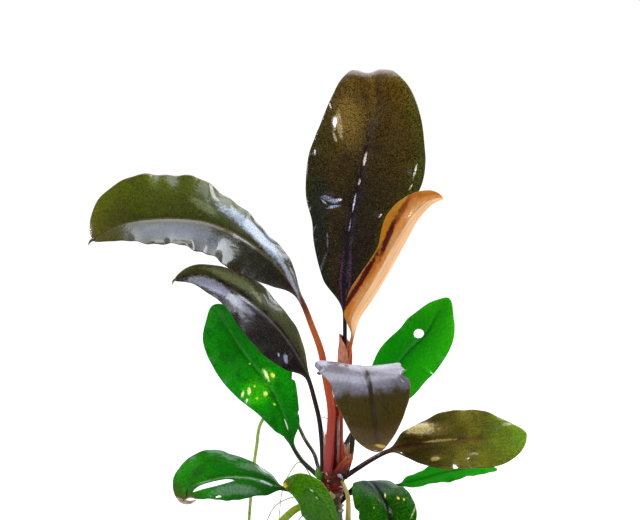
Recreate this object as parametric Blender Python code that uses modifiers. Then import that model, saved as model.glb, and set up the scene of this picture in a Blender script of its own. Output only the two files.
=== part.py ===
"""A bucephalandra: an aquarium plant with twelve leaves on a short creeping stem, cut off flat underneath.

Metres, +Z up. The origin is on the surface that the plant stands on, under the middle of its stem.
+X is to the right and -Y is towards the viewer when the tall leaf stands at the back.
"""

import math

import bmesh
import bpy
import numpy as np
from mathutils import Vector

MM = 0.001
SAMPLES_PER_SPAN = 60  # samples of a smooth line between two of its points
DIRECTION_REACH = 0.4  # millimetres each way over which a line's direction is measured

# Leaf sections, in millimetres
RIB_THICKNESS = 0.9
MARGIN_THICKNESS = 0.32
TIP_THINNING = 0.35  # share of the thickness lost from the foot of a blade to its tip
ABOVE_RIB = 0.35  # share of the thickness above the midrib's line, the rest is below it
SMALLEST_HALF_WIDTH = 0.25
LAST_ROW = 0.985  # share of the blade's quarter turn at which its last section stands
RIPPLE_LAG = 2  # radians by which the right margin's ripples lag behind the left one's
NECK_SHARE = 0.14  # share of the blade over which the round stalk flattens into the blade
ROWS_ON_STALK = 7
ROWS_ON_BLADE = 14
HALF_STEPS = 2  # panels from the midrib to the margin
WIDTH_AT = (0, 0.1, 0.25, 0.4, 0.55, 0.7, 0.85, 0.95, 1)  # shares of a blade's length

# Stem, in millimetres: the middle line from the cut face up, with the radius there
STEM_LINE = ((0, 0, 0), (0, 0, 2.5), (-0.1, -0.2, 8), (-0.2, -0.5, 15), (-0.3, -0.6, 20),
             (-0.5, -0.6, 24.5),
             (-0.6, -0.6, 27.4))
STEM_RADII = (3.0, 2.7, 2.3, 2.2, 2.3, 2.9, 2.6)
STEM_ROWS = 28
SCAR_SPACING = 2.1
SCAR_HEIGHT = 0.16
EYE_BUD_CENTRE = (-0.7, -2.6, 20.8)
EYE_BUD_RADIUS = 1.15
EYE_BUD_STRETCH = (1, 0.8, 1.2)

# Holes in two leaves, in millimetres: centre, length, width, and the slope of the long way in degrees
HOLES = {
    "leaf_green_right_holed": ((21.7, 15.3, 59.8), 2.9, 2.5, 70),
    "leaf_low_left_slotted": ((-30.4, -8.3, 24.9), 11.4, 1.7, 11.6),
}
CUTTER_DEPTH = 14
CUTTER_SIDES = 20


def leaf(name, colour, stalk, rib, face, left, right, fold, curl, radius, waves):
    """One leaf: lines in mm, half widths at WIDTH_AT, and angles in degrees at the base and the tip."""
    return dict(name=name, colour=colour, stalk=stalk, rib=rib, face=face, left=left, right=right,
                fold=fold, curl=curl, radius=radius, waves=waves)


LEAVES = (
    leaf("leaf_upright", (0.035, 0.030, 0.012),
         stalk=((1.1, 0.3, 27.8), (1.1, 0.5, 36), (1.4, 0.8, 45), (2.3, 1.0, 54), (2.5, 1.0, 60)),
         rib=((2.5, 1.2, 65), (3, 4, 80.5), (5, 7, 93.5), (8, 10, 107.5), (9.5, 12.5, 119.5),
              (9.5, 14, 124.5),
              (9.5, 17, 127.3), (9.5, 20.5, 126.3)),
         face=((0, -1, 0), (0, -1, 0.15), (0, -1, 0.2), (0, 0, 1)),
         left=(0.6, 4.5, 8.6, 12.3, 14, 11.9, 9.1, 5, 0),
         right=(0.6, 4.4, 8.8, 12.5, 15.6, 14.2, 10.4, 5.4, 0),
         fold=((18, 12), (3, 3)), curl=((-10, -10), (-8, -8)), radius=(0.75, 0.5), waves=(4, 0.25)),
    leaf("leaf_young_rolled", (0.60, 0.22, 0.05),
         stalk=((1.3, -1.9, 27.8), (1.4, -1.4, 36), (1.6, -1.1, 45), (3.0, -0.8, 54)),
         rib=((4.1, -0.5, 59.5), (5.5, -1, 65), (9.2, -1.2, 71), (13.4, -1.2, 78), (17.3, -1, 85),
              (20.8, -0.8, 90.7), (24.3, -0.6, 94.2), (27, -0.5, 95.4)),
         face=((-1, -0.3, 0.2), (-0.9, -0.25, 0.45), (-0.8, -0.3, 0.5), (-0.4, -0.3, 0.9)),
         left=(0.6, 3.2, 5.8, 5.2, 4.9, 7.2, 6.8, 4, 0), right=(0.6, 2.8, 4.8, 5.8, 6.2, 5.8, 4.2, 2, 0),
         fold=((38, 50), (38, 50)), curl=((30, 45), (30, 45)), radius=(0.75, 0.45), waves=(3, 0.1)),
    leaf("leaf_upper_left", (0.045, 0.045, 0.022),
         stalk=((-1.6, -2.0, 27.8), (-1.1, -2.2, 36), (-0.9, -2.0, 42), (-2.2, -1.4, 50),
                (-3.6, -1.0, 57.5),
                (-5.8, -0.5, 63.5)),
         rib=((-8, 0, 69), (-14, -1, 78), (-22, -2, 85), (-31.5, -3, 89.5), (-43.5, -4, 90.5),
              (-53.5, -5, 89),
              (-60, -6, 85.5)),
         face=((0.4, -0.9, 0.2), (0, -0.85, 0.5), (0, -0.75, 0.67), (-0.1, -0.68, 0.73)),
         left=(0.6, 3.2, 8, 10.5, 10.6, 9.6, 6.8, 3, 0), right=(0.6, 3, 6.2, 9.2, 12.6, 13.4, 11.4, 6, 0),
         fold=((2, -20), (25, 22)), curl=((0, -40), (-6, -6)), radius=(1.2, 0.7), waves=(5, 0.7)),
    leaf("leaf_middle_left", (0.040, 0.030, 0.022),
         stalk=((-3.1, -0.1, 27.8), (-3.3, 0.1, 34), (-4.0, 0.2, 40), (-5.2, 0.2, 45)),
         rib=((-6.3, 0, 49), (-10, -1.5, 57), (-14, -3, 62.7), (-20, -4.5, 69), (-26, -6, 73.3),
              (-35.5, -8, 76.7),
              (-39.5, -9, 75.8)),
         face=((0.4, -0.9, 0), (0.25, -0.85, 0.3), (0.2, -0.8, 0.45), (0, -0.75, 0.65)),
         left=(0.6, 3.6, 6.7, 8, 7.2, 5.2, 3.6, 1.4, 0), right=(0.6, 1.9, 4.3, 5.2, 6.3, 5.6, 4, 2, 0),
         fold=((2, -6), (6, 6)), curl=((-12, -20), (-10, -10)), radius=(0.65, 0.55), waves=(3, 0.4)),
    leaf("leaf_green_left", (0.02, 0.22, 0.02),
         stalk=((-4.0, 0.6, 25.0), (-5.6, 1.4, 26.4), (-8.2, 2.9, 28.6)),
         rib=((-10.3, 4, 31.6), (-12.6, 5, 38.3), (-17, 6.5, 47.6), (-22.3, 8, 54), (-27.2, 9.5, 61.3),
              (-31, 10, 67.6)),
         face=((0.3, -0.9, 0.4), (0.2, -1, 0.1), (0, -1, 0.1), (-0.1, -1, 0.1)),
         left=(0.6, 2.6, 5.2, 7.7, 8.4, 8.3, 6.9, 3.2, 0), right=(0.6, 2.8, 5, 7, 7.5, 7.4, 6, 3.2, 0),
         fold=((8, 8), (2, 2)), curl=((-8, -8), (-8, -8)), radius=(0.65, 0.55), waves=(4, 0.35)),
    leaf("leaf_low_left_slotted", (0.02, 0.17, 0.03),
         stalk=((-3.1, -1.1, 19.6), (-5.4, -1.3, 20.6), (-9, -1.6, 21.7)),
         rib=((-12.5, -2, 22.4), (-18.5, -3, 25), (-22.5, -4, 26), (-30.5, -6, 25.7), (-36, -8, 24),
              (-39, -9, 21)),
         face=((0.2, -0.6, 0.8), (0.1, -0.78, 0.62), (0, -0.78, 0.62), (-0.4, -0.75, 0.5)),
         left=(0.6, 3.1, 4.7, 6.5, 6.5, 5.6, 4.4, 2.6, 0), right=(0.6, 2, 3.8, 5.8, 8.4, 8.6, 6.6, 3.8, 0),
         fold=((4, 4), (4, 4)), curl=((-14, -14), (-18, -18)), radius=(0.65, 0.55), waves=(3, 0.3)),
    leaf("leaf_green_right_holed", (0.03, 0.26, 0.02),
         stalk=((1.0, 2.0, 27.8), (2.0, 3.2, 31), (4.6, 6.4, 35.5)),
         rib=((8.5, 10, 40.6), (12.9, 12, 46.8), (18.6, 14, 54.8), (23.5, 15.5, 59.5), (27.4, 17, 65.8),
              (29.5, 17.5, 68.6)),
         face=((-0.3, -0.9, 0.3), (-0.1, -1, 0.2), (0, -1, 0.1), (0, -1, 0.2)),
         left=(0.6, 3, 5.2, 6.2, 5.8, 6.2, 4.3, 2, 0), right=(0.6, 4.5, 7.4, 8.2, 8.6, 7.3, 5.2, 2.6, 0),
         fold=((8, 8), (4, 4)), curl=((-8, -8), (-8, -8)), radius=(0.7, 0.55), waves=(4, 0.35)),
    leaf("leaf_front_bent", (0.12, 0.09, 0.03),
         stalk=((2.9, 0.4, 26.2), (3.9, 0.2, 30), (4.6, -0.6, 38), (4.9, -2.6, 46), (5.2, -4.8, 51.4)),
         rib=((5.7, -7, 53.7), (6.4, -9, 54.2), (7.5, -15, 53.3), (8.4, -19, 50.4), (9.1, -21, 45.3),
              (9.8, -22, 40.6), (10.6, -22, 35.2)),
         face=((0, 1, 0.2), (0, 0.3, 1), (0, -0.8, 0.8), (0, -1, 0)),
         left=(0.6, 8, 9.2, 9.9, 9.5, 7.7, 5, 2.4, 0), right=(0.6, 10.4, 10.6, 9.8, 9, 7.3, 5.6, 3.2, 0),
         fold=((2, 4), (5, 5)), curl=((10, 20), (-12, -12)), radius=(0.65, 0.6), waves=(3, 0.3)),
    leaf("leaf_right_olive", (0.10, 0.08, 0.02),
         stalk=((3.0, -1.3, 25.7), (5.4, -1.7, 27.4), (9, -2.1, 29.8)),
         rib=((12.8, -2.5, 31.9), (16.8, -3, 33.1), (25, -4.5, 34.6), (33, -6, 35.5), (41, -7, 36.4),
              (47.6, -8, 37.2)),
         face=((-0.4, -0.7, 0.6), (-0.2, -0.8, 0.6), (0, -0.82, 0.57), (0, -0.78, 0.62)),
         left=(0.6, 3.3, 5.8, 7.9, 8.5, 7.8, 4.6, 2.4, 0),
         right=(0.6, 2.2, 5.6, 7.6, 7.8, 8.2, 7.2, 4.8, 0),
         fold=((10, 10), (4, 4)), curl=((-10, -10), (-10, -10)), radius=(0.65, 0.6), waves=(3, 0.3)),
    leaf("leaf_right_green_edge", (0.03, 0.24, 0.03),
         stalk=((2.6, 0.9, 20.6), (5.6, 2.4, 20.9), (10.5, 4.3, 21.2)),
         rib=((15.6, 6, 21.7), (21.7, 7, 23.1), (29.5, 8.5, 24.9), (37.2, 10, 25.9), (41.7, 11, 25.2)),
         face=((-0.1, -0.2, 1), (-0.1, -0.22, 0.97), (-0.1, -0.22, 0.97), (0, -0.2, 0.97)),
         left=(0.6, 3, 4.5, 5.5, 5.8, 5.5, 4, 2.2, 0), right=(0.6, 3, 4.5, 5.5, 5.8, 5.5, 4, 2.2, 0),
         fold=((8, 8), (3, 3)), curl=((-8, -8), (-8, -8)), radius=(0.65, 0.55), waves=(3, 0.3)),
    leaf("leaf_front_low_left", (0.05, 0.20, 0.03),
         stalk=((-0.1, -3.3, 5.2), (0.5, -5.0, 5.6)),
         rib=((1.1, -7.2, 7.4), (-0.3, -9.3, 16.3), (-2.3, -10.0, 20.5), (-5.5, -10.2, 23.7),
              (-9.2, -10, 25.1),
              (-12.9, -9.5, 25.2)),
         face=((-0.6, -0.5, 0.8), (-0.45, -0.9, 0.15), (-0.4, -0.9, 0.2), (-0.2, -0.9, 0.4)),
         left=(0.6, 3.4, 6.4, 7.6, 7.2, 5.8, 3.8, 2, 0), right=(0.6, 2, 3, 3.8, 4.4, 4.2, 3.2, 1.8, 0),
         fold=((4, 4), (2, 2)), curl=((-12, -12), (-14, -14)), radius=(0.6, 0.5), waves=(2, 0.15)),
    leaf("leaf_front_low_right", (0.02, 0.16, 0.03),
         stalk=((2.45, -1.8, 20.2), (4.2, -2.5, 22.2), (5.5, -3.5, 23.6)),
         rib=((6.7, -5, 24.4), (8.5, -7, 25.1), (10.6, -12, 23.5), (12.5, -16, 21), (14.1, -18.5, 16.5),
              (15.3, -19, 10.9)),
         face=((-0.5, 0.6, 0.6), (0, 0.35, 1), (0, -0.7, 0.75), (0, -1, 0.1)),
         left=(0.6, 4.4, 5.6, 6.3, 6.8, 6.6, 4.8, 2.8, 0), right=(0.6, 4.2, 6, 7.2, 7.8, 7.2, 5.2, 3, 0),
         fold=((14, 14), (6, 6)), curl=((-25, -25), (-10, -10)), radius=(0.6, 0.55), waves=(3, 0.25)),
)

# Roots in millimetres: the route, and the radius at its head, middle and end
ROOTS = {
    "root_front_yellow": (
        ((1.8, -3.1, 24.4), (3.0, -4.7, 21.8), (3.3, -5.4, 15), (3.3, -6.2, 8), (4.2, -9, 2.6),
         (6, -14, 0.8),
         (8, -21, 0.75), (9, -28, 0.6)),
        (0.35, 0.8, 0.55), (0.80, 0.70, 0.38)),
    "root_left_green": (
        ((-3.1, -0.9, 17.0), (-5, -1.2, 18.1), (-8.4, -2, 18), (-13, -3.4, 14.8), (-17.5, -5.5, 7.5),
         (-22, -8, 1.6),
         (-27, -10.5, 0.9), (-32, -12, 0.7)),
        (0.8, 1.0, 0.65), (0.45, 0.62, 0.12)),
    "root_aerial_green": (
        ((-3.5, 1.2, 26.6), (-5.2, 3.2, 30.4), (-7.4, 6, 33.4), (-11, 8.8, 39.2), (-15, 10, 41.2),
         (-18.6, 10, 37.8),
         (-20, 10, 31), (-21.4, 10, 19), (-22.2, 10.6, 9), (-22.8, 12, 2), (-25, 14.5, 0.55),
         (-30, 18, 0.5)),
        (0.5, 0.45, 0.4), (0.40, 0.62, 0.10)),
    "root_prop_back_left": (
        ((-1.5, 2.0, 10), (-3.2, 4, 10.4), (-6.5, 8.5, 7), (-10, 13, 2), (-14, 18, 0.85), (-19, 24, 0.6)),
        (0.8, 0.85, 0.55), (0.42, 0.34, 0.18)),
    "root_prop_back_right": (
        ((1.4, 1.8, 12), (3.2, 3.8, 12.2), (7, 8, 8.5), (11.5, 12.5, 2.6), (16, 16.5, 0.85), (22, 21, 0.6)),
        (0.8, 0.85, 0.55), (0.42, 0.34, 0.18)),
    "root_prop_right": (
        ((2.5, -0.9, 8.6), (5, -1.8, 8.4), (9.5, -3.4, 5.2), (15, -5, 1.5), (21, -6, 0.8), (28, -6.4, 0.6)),
        (0.8, 0.85, 0.55), (0.42, 0.34, 0.18)),
}
ROOT_STEP = 2.6
ROOT_KNOTS = (0, 0.35, 1)  # shares of a root's length with a given radius
ROOT_RIM = 2  # bevel resolution of a root or a bud
STEM_RIM = 4  # bevel resolution of the stem

# Sheath, bract and bud, in millimetres and degrees
SHEATH_LINE = ((1.95, -0.1, 47), (2.4, 0, 51), (2.8, 0.1, 56), (3.0, 0.15, 61))
SHEATH_RADIUS = 2.0
SHEATH_TAPER = 0.12
SHEATH_MIDDLE = 178  # direction of the spike, seen from above
SHEATH_SPAN = (88, 118)  # reach round the stalks at the foot, towards the front and the back
SPIKE_NARROWING = 0.86
BRACT_LINE = ((-0.5, -0.6, 27.5), (0, -0.8, 31.7))
BRACT_RADIUS = 3.3
BRACT_FLARE = 0.8
BRACT_MIDDLE = (-72, -60)  # direction at the foot and at the top
BRACT_SPAN = 52
BRACT_NARROWING = 0.75
LEAF_WALL = 0.35  # thickness of sheath and bract
BUD_LINE = ((-3.75, -2.0, 25.2), (-4.1, -2.1, 26.2), (-4.6, -2.3, 28.1))
BUD_RADII = (0.45, 0.8, 0.55, 0.08)
BUD_ROWS = 9

STEM_COLOUR = (0.16, 0.10, 0.05)
SHEATH_COLOUR = (0.45, 0.12, 0.05)
BRACT_COLOUR = (0.50, 0.14, 0.04)
BUD_COLOUR = (0.20, 0.42, 0.06)
LEAF_GLOSS = 0.25  # roughness of a wet leaf
SHEATH_GLOSS = 0.4
ROOT_GLOSS = 0.45
STEM_GLOSS = 0.5


def smooth(knots, values, at):
    """Values read from a smooth curve that passes through the given ones."""
    knots = np.asarray(knots, float)
    values = np.asarray(values, float)
    at = np.clip(np.asarray(at, float), knots[0], knots[-1])
    slopes = np.gradient(values, knots, axis=0)
    i = np.clip(np.searchsorted(knots, at, side="right") - 1, 0, len(knots) - 2)
    span = knots[i + 1] - knots[i]
    f = (at - knots[i]) / span
    if values.ndim == 2:
        f = f[:, None]
        span = span[:, None]
    start = (2 * f**3 - 3 * f**2 + 1) * values[i] + (f**3 - 2 * f**2 + f) * span * slopes[i]
    end = (3 * f**2 - 2 * f**3) * values[i + 1] + (f**3 - f**2) * span * slopes[i + 1]
    return start + end


def unit(vectors):
    return vectors / np.linalg.norm(vectors, axis=-1, keepdims=True)


def trace(points):
    """A smooth line through the points: its samples, and the length of the line up to each one."""
    points = np.asarray(points, float)
    knots = np.concatenate([[0], np.cumsum(np.linalg.norm(np.diff(points, axis=0), axis=1))])
    spans = [np.linspace(a, b, SAMPLES_PER_SPAN, endpoint=False) for a, b in zip(knots, knots[1:])]
    samples = smooth(knots, points, np.concatenate([*spans, knots[-1:]]))
    lengths = np.concatenate([[0], np.cumsum(np.linalg.norm(np.diff(samples, axis=0), axis=1))])
    return samples, lengths


def read_line(samples, lengths, at):
    """Points and directions of a traced line at these lengths."""
    points = np.stack([np.interp(at, lengths, samples[:, k]) for k in range(3)], axis=1)
    ahead = np.stack([np.interp(at + DIRECTION_REACH, lengths, samples[:, k]) for k in range(3)], axis=1)
    behind = np.stack([np.interp(at - DIRECTION_REACH, lengths, samples[:, k]) for k in range(3)], axis=1)
    return points, unit(ahead - behind)


def half_section(width, fold, curl, steps):
    """Distances across and up from midrib to margin, on a line that leaves at fold and turns by curl."""
    q = np.linspace(0, 1, steps + 1)[None, :]
    first = np.radians(fold)[:, None]
    turn = np.radians(curl)[:, None]
    least = 1e-4  # radians, so that a flat half is never divided by nothing
    turn = np.where(np.abs(turn) < least, least, turn)
    across = width[:, None] * (np.sin(first + turn * q) - np.sin(first)) / turn
    up = width[:, None] * (np.cos(first) - np.cos(first + turn * q)) / turn
    return across, up


def leaf_rings(item):
    """The closed sections of a leaf, from the foot of its stalk to the tip of its blade."""
    samples, lengths = trace(tuple(item["stalk"]) + tuple(item["rib"]))
    neck = lengths[SAMPLES_PER_SPAN * len(item["stalk"])]
    blade = lengths[-1] - neck
    shares = np.sin(np.linspace(0, 1, ROWS_ON_BLADE + 1)[1:] * math.pi / 2 * LAST_ROW)
    at = np.concatenate([np.linspace(0, neck, ROWS_ON_STALK), neck + blade * shares])
    share = (at - neck) / blade
    points, along = read_line(samples, lengths, at)

    stage = np.where(share < 0, share * blade / neck, share)
    face = smooth((-1, 0, 0.5, 1), item["face"], stage)
    normal = unit(face - along * np.sum(face * along, axis=1, keepdims=True))
    right = np.cross(along, normal)

    on_blade = np.clip(share, 0, 1)
    rounded = np.arcsin(on_blade) * 2 / math.pi
    knots = np.arcsin(WIDTH_AT) * 2 / math.pi
    sides = []
    for name, column, hand in (("left", 0, -1), ("right", 1, 1)):
        width = np.maximum(smooth(knots, item[name], rounded), SMALLEST_HALF_WIDTH)
        fold = np.interp(on_blade, (0, 1), [pair[column] for pair in item["fold"]])
        curl = np.interp(on_blade, (0, 1), [pair[column] for pair in item["curl"]])
        across, up = half_section(width, fold, curl, HALF_STEPS)
        count, height = item["waves"]
        phase = 2 * math.pi * count * on_blade + column * RIPPLE_LAG
        ripple = height * np.sin(math.pi * on_blade) * np.sin(phase)
        up = up + ripple[:, None] * np.linspace(0, 1, HALF_STEPS + 1)[None, :] ** 2
        sides.append((across * hand, up))
    across = np.concatenate([sides[0][0][:, :0:-1], sides[1][0]], axis=1)
    up = np.concatenate([sides[0][1][:, :0:-1], sides[1][1]], axis=1)

    count = 2 * HALF_STEPS + 1
    off_rib = np.abs(np.linspace(-1, 1, count))[None, :]
    thick = MARGIN_THICKNESS + (RIB_THICKNESS - MARGIN_THICKNESS) * (1 - off_rib) ** 2
    thick = thick * (1 - TIP_THINNING * on_blade[:, None])
    flat_across = np.concatenate([across, across[:, ::-1]], axis=1)
    upper = up + thick * ABOVE_RIB
    lower = up - thick * (1 - ABOVE_RIB)
    flat_up = np.concatenate([upper, lower[:, ::-1]], axis=1)

    radius = np.interp(share, (-neck / blade, 0), item["radius"])[:, None]
    turn = math.pi * (1 - (np.arange(2 * count) + 0.5) / count)
    round_across = radius * np.cos(turn)[None, :]
    round_up = radius * np.sin(turn)[None, :]

    blend = np.clip(share / NECK_SHARE, 0, 1)[:, None]
    blend = blend * blend * (3 - 2 * blend)
    ring_across = round_across + (flat_across - round_across) * blend
    ring_up = round_up + (flat_up - round_up) * blend
    return (points[:, None, :] + ring_across[:, :, None] * right[:, None, :]
            + ring_up[:, :, None] * normal[:, None, :])


def loft(name, rings, collection):
    """One closed mesh through rings of equally many points, with its two ends capped."""
    mesh = bmesh.new()
    rows = [[mesh.verts.new(Vector(point) * MM) for point in ring] for ring in rings]
    for lower, upper in zip(rows, rows[1:]):
        for k in range(len(lower)):
            n = (k + 1) % len(lower)
            mesh.faces.new((lower[k], lower[n], upper[n], upper[k]))
    mesh.faces.new(rows[0][::-1])
    mesh.faces.new(rows[-1])
    bmesh.ops.triangulate(mesh, faces=mesh.faces[:])
    bmesh.ops.recalc_face_normals(mesh, faces=mesh.faces[:])
    data = bpy.data.meshes.new(name)
    mesh.to_mesh(data)
    mesh.free()
    data.shade_smooth()
    obj = bpy.data.objects.new(name, data)
    collection.objects.link(obj)
    return obj


def material(obj, colour, roughness):
    made = bpy.data.materials.new(obj.name)
    made.use_nodes = True
    shader = made.node_tree.nodes["Principled BSDF"]
    shader.inputs["Base Color"].default_value = (*colour, 1)
    shader.inputs["Roughness"].default_value = roughness
    shader.inputs["Metallic"].default_value = 0
    obj.data.materials.append(made)


def tube(name, points, radii, collection, rim=ROOT_RIM):
    """A round tube along the points, with its own radius at each, as a curve with filled caps."""
    curve = bpy.data.curves.new(name, "CURVE")
    curve.dimensions = "3D"
    curve.bevel_depth = 1.0
    curve.bevel_resolution = rim
    curve.use_fill_caps = True
    line = curve.splines.new("POLY")
    line.points.add(len(points) - 1)
    for spot, point, radius in zip(line.points, points, radii):
        spot.co = (*(Vector(point) * MM), 1)
        spot.radius = radius * MM
    obj = bpy.data.objects.new(name, curve)
    collection.objects.link(obj)
    return obj


def as_mesh(obj, collection):
    """The same object as a mesh whose caps are welded to its sides."""
    graph = bpy.context.evaluated_depsgraph_get()
    data = bpy.data.meshes.new_from_object(obj.evaluated_get(graph))
    name = obj.name
    place = obj.matrix_world.copy()
    bpy.data.objects.remove(obj)
    mesh = bmesh.new()
    mesh.from_mesh(data)
    bmesh.ops.remove_doubles(mesh, verts=mesh.verts[:], dist=1e-6)
    mesh.to_mesh(data)
    mesh.free()
    data.shade_smooth()
    made = bpy.data.objects.new(name, data)
    made.matrix_world = place
    collection.objects.link(made)
    return made


def root(name, route, radii, collection):
    samples, lengths = trace(route)
    count = int(lengths[-1] / ROOT_STEP) + 1
    at = np.linspace(0, lengths[-1], count)
    points, _ = read_line(samples, lengths, at)
    thick = smooth(ROOT_KNOTS, radii, at / lengths[-1])
    points[:, 2] = np.maximum(points[:, 2], thick)
    return tube(name, points, thick, collection)


def set_aside(helper, cutters):
    """Keeps a helper out of renders, in the cutters' collection."""
    helper.hide_render = True
    helper.display_type = "WIRE"
    for home in list(helper.users_collection):
        home.objects.unlink(helper)
    cutters.objects.link(helper)


def stem(collection, cutters):
    """The creeping stem with its ring-shaped leaf scars, and the pale eye bud joined to its front."""
    samples, lengths = trace(STEM_LINE)
    at = np.linspace(0, lengths[-1], STEM_ROWS)
    points, _ = read_line(samples, lengths, at)
    points[1, :2] = points[0, :2]  # the cut face lies level
    knots = [lengths[SAMPLES_PER_SPAN * k] for k in range(len(STEM_LINE))]
    radii = smooth(knots, STEM_RADII, at) + SCAR_HEIGHT * np.sin(2 * math.pi * at / SCAR_SPACING)
    body = as_mesh(tube("rhizome", points, radii, collection, STEM_RIM), collection)
    bpy.ops.mesh.primitive_uv_sphere_add(segments=12, ring_count=8, radius=EYE_BUD_RADIUS * MM)
    eye = bpy.context.object
    eye.name = "rhizome_eye_bud"
    eye.scale = EYE_BUD_STRETCH
    eye.location = Vector(EYE_BUD_CENTRE) * MM
    set_aside(eye, cutters)
    join = body.modifiers.new("eye bud", "BOOLEAN")
    join.operation = "UNION"
    join.object = eye
    return body


def open_shell(name, line, radius_at, span_at, steps, rows, collection):
    """A thin wall round a line: a grid bent to part of a tube, then given its thickness."""
    mesh = bmesh.new()
    bmesh.ops.create_grid(mesh, x_segments=steps, y_segments=rows, size=0.5)
    samples, lengths = trace(line)
    for vertex in mesh.verts:
        around = vertex.co.x + 0.5
        up = vertex.co.y + 0.5
        first, last = span_at(up)
        turn = math.radians(first + (last - first) * around)
        centre, _ = read_line(samples, lengths, np.array([up * lengths[-1]]))
        reach = radius_at(up)
        spot = Vector(centre[0]) + Vector((math.cos(turn), math.sin(turn), 0)) * reach
        vertex.co = spot * MM
    bmesh.ops.recalc_face_normals(mesh, faces=mesh.faces[:])
    data = bpy.data.meshes.new(name)
    mesh.to_mesh(data)
    mesh.free()
    data.shade_smooth()
    obj = bpy.data.objects.new(name, data)
    collection.objects.link(obj)
    wall = obj.modifiers.new("wall", "SOLIDIFY")
    wall.thickness = LEAF_WALL * MM
    wall.offset = 0
    return obj


def sheath(collection):
    """The thin sheath round the two youngest stalks: open in front, drawn out to a spike on the left."""
    def radius_at(up):
        return SHEATH_RADIUS * (1 - SHEATH_TAPER * up)

    def span_at(up):
        share = 1 - SPIKE_NARROWING * up**3
        return SHEATH_MIDDLE - SHEATH_SPAN[0] * share, SHEATH_MIDDLE + SHEATH_SPAN[1] * share

    return open_shell("sheath_spiked", SHEATH_LINE, radius_at, span_at, 12, 8, collection)


def bract(collection):
    """The old sheath that flares at the foot of the stalks, at the front."""
    def radius_at(up):
        return BRACT_RADIUS + BRACT_FLARE * up**2

    def span_at(up):
        middle = BRACT_MIDDLE[0] + (BRACT_MIDDLE[1] - BRACT_MIDDLE[0]) * up
        reach = BRACT_SPAN * (1 - BRACT_NARROWING * up**2)
        return middle - reach, middle + reach

    return open_shell("bract_orange", BRACT_LINE, radius_at, span_at, 8, 6, collection)


def bud(collection):
    """A small pointed side bud."""
    samples, lengths = trace(BUD_LINE)
    at = np.linspace(0, lengths[-1], BUD_ROWS)
    points, _ = read_line(samples, lengths, at)
    radii = smooth((0, 0.35, 0.7, 1), BUD_RADII, at / lengths[-1])
    return tube("bud_green", points, radii, collection)


def cut(obj, name, centre, length, width, slope, cutters):
    """Cuts a round or long oval hole through a leaf, from front to back."""
    bpy.ops.mesh.primitive_cylinder_add(
        vertices=CUTTER_SIDES, radius=width / 2 * MM, depth=CUTTER_DEPTH * MM)
    cutter = bpy.context.object
    cutter.name = name
    cutter.scale = (length / width, 1, 1)
    bpy.ops.object.transform_apply(location=False, rotation=False, scale=True)
    cutter.rotation_euler = (math.radians(90), math.radians(-slope), 0)
    cutter.location = Vector(centre) * MM
    set_aside(cutter, cutters)
    modifier = obj.modifiers.new(name, "BOOLEAN")
    modifier.operation = "DIFFERENCE"
    modifier.object = cutter


def clear_scene():
    for obj in list(bpy.data.objects):
        bpy.data.objects.remove(obj)


def main():
    clear_scene()
    plant = bpy.data.collections.new("bucephalandra")
    cutters = bpy.data.collections.new("cutters")
    for collection in (plant, cutters):
        bpy.context.scene.collection.children.link(collection)

    material(stem(plant, cutters), STEM_COLOUR, STEM_GLOSS)
    for item in LEAVES:
        obj = loft(item["name"], leaf_rings(item), plant)
        material(obj, item["colour"], LEAF_GLOSS)
        if item["name"] in HOLES:
            cut(obj, item["name"] + "_hole", *HOLES[item["name"]], cutters)
    for name, (route, radii, colour) in ROOTS.items():
        material(root(name, route, radii, plant), colour, ROOT_GLOSS)
    material(sheath(plant), SHEATH_COLOUR, SHEATH_GLOSS)
    material(bract(plant), BRACT_COLOUR, SHEATH_GLOSS)
    material(bud(plant), BUD_COLOUR, SHEATH_GLOSS)


main()
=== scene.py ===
"""The looks of a bucephalandra: twelve wet leaves on a short creeping stem, with its roots.

The sizes are millimetres until a mesh is made. A leaf is a closed sheet of fine rows and columns, and every
point of it knows its place on the leaf, so that veins, speckles and colours follow the leaf and not the room.
"""

import math

import bmesh
import bpy
import numpy as np
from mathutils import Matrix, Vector


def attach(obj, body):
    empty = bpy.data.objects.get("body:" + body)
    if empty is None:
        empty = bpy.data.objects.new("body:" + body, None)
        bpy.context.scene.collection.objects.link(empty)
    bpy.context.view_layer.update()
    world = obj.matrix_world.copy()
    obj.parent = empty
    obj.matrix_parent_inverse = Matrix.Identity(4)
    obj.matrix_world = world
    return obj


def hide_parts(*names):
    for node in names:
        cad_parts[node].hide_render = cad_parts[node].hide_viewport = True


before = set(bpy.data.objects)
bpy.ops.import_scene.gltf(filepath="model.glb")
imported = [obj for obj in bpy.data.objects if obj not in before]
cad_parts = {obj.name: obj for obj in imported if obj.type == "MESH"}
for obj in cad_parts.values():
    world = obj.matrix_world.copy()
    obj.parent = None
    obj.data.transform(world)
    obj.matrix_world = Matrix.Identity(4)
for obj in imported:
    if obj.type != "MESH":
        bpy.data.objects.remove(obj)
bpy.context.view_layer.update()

MM = 0.001
SAMPLES_PER_SPAN = 60  # samples of a smooth line between two of its points
DIRECTION_REACH = 0.4  # millimetres each way over which a line's direction is measured

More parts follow.
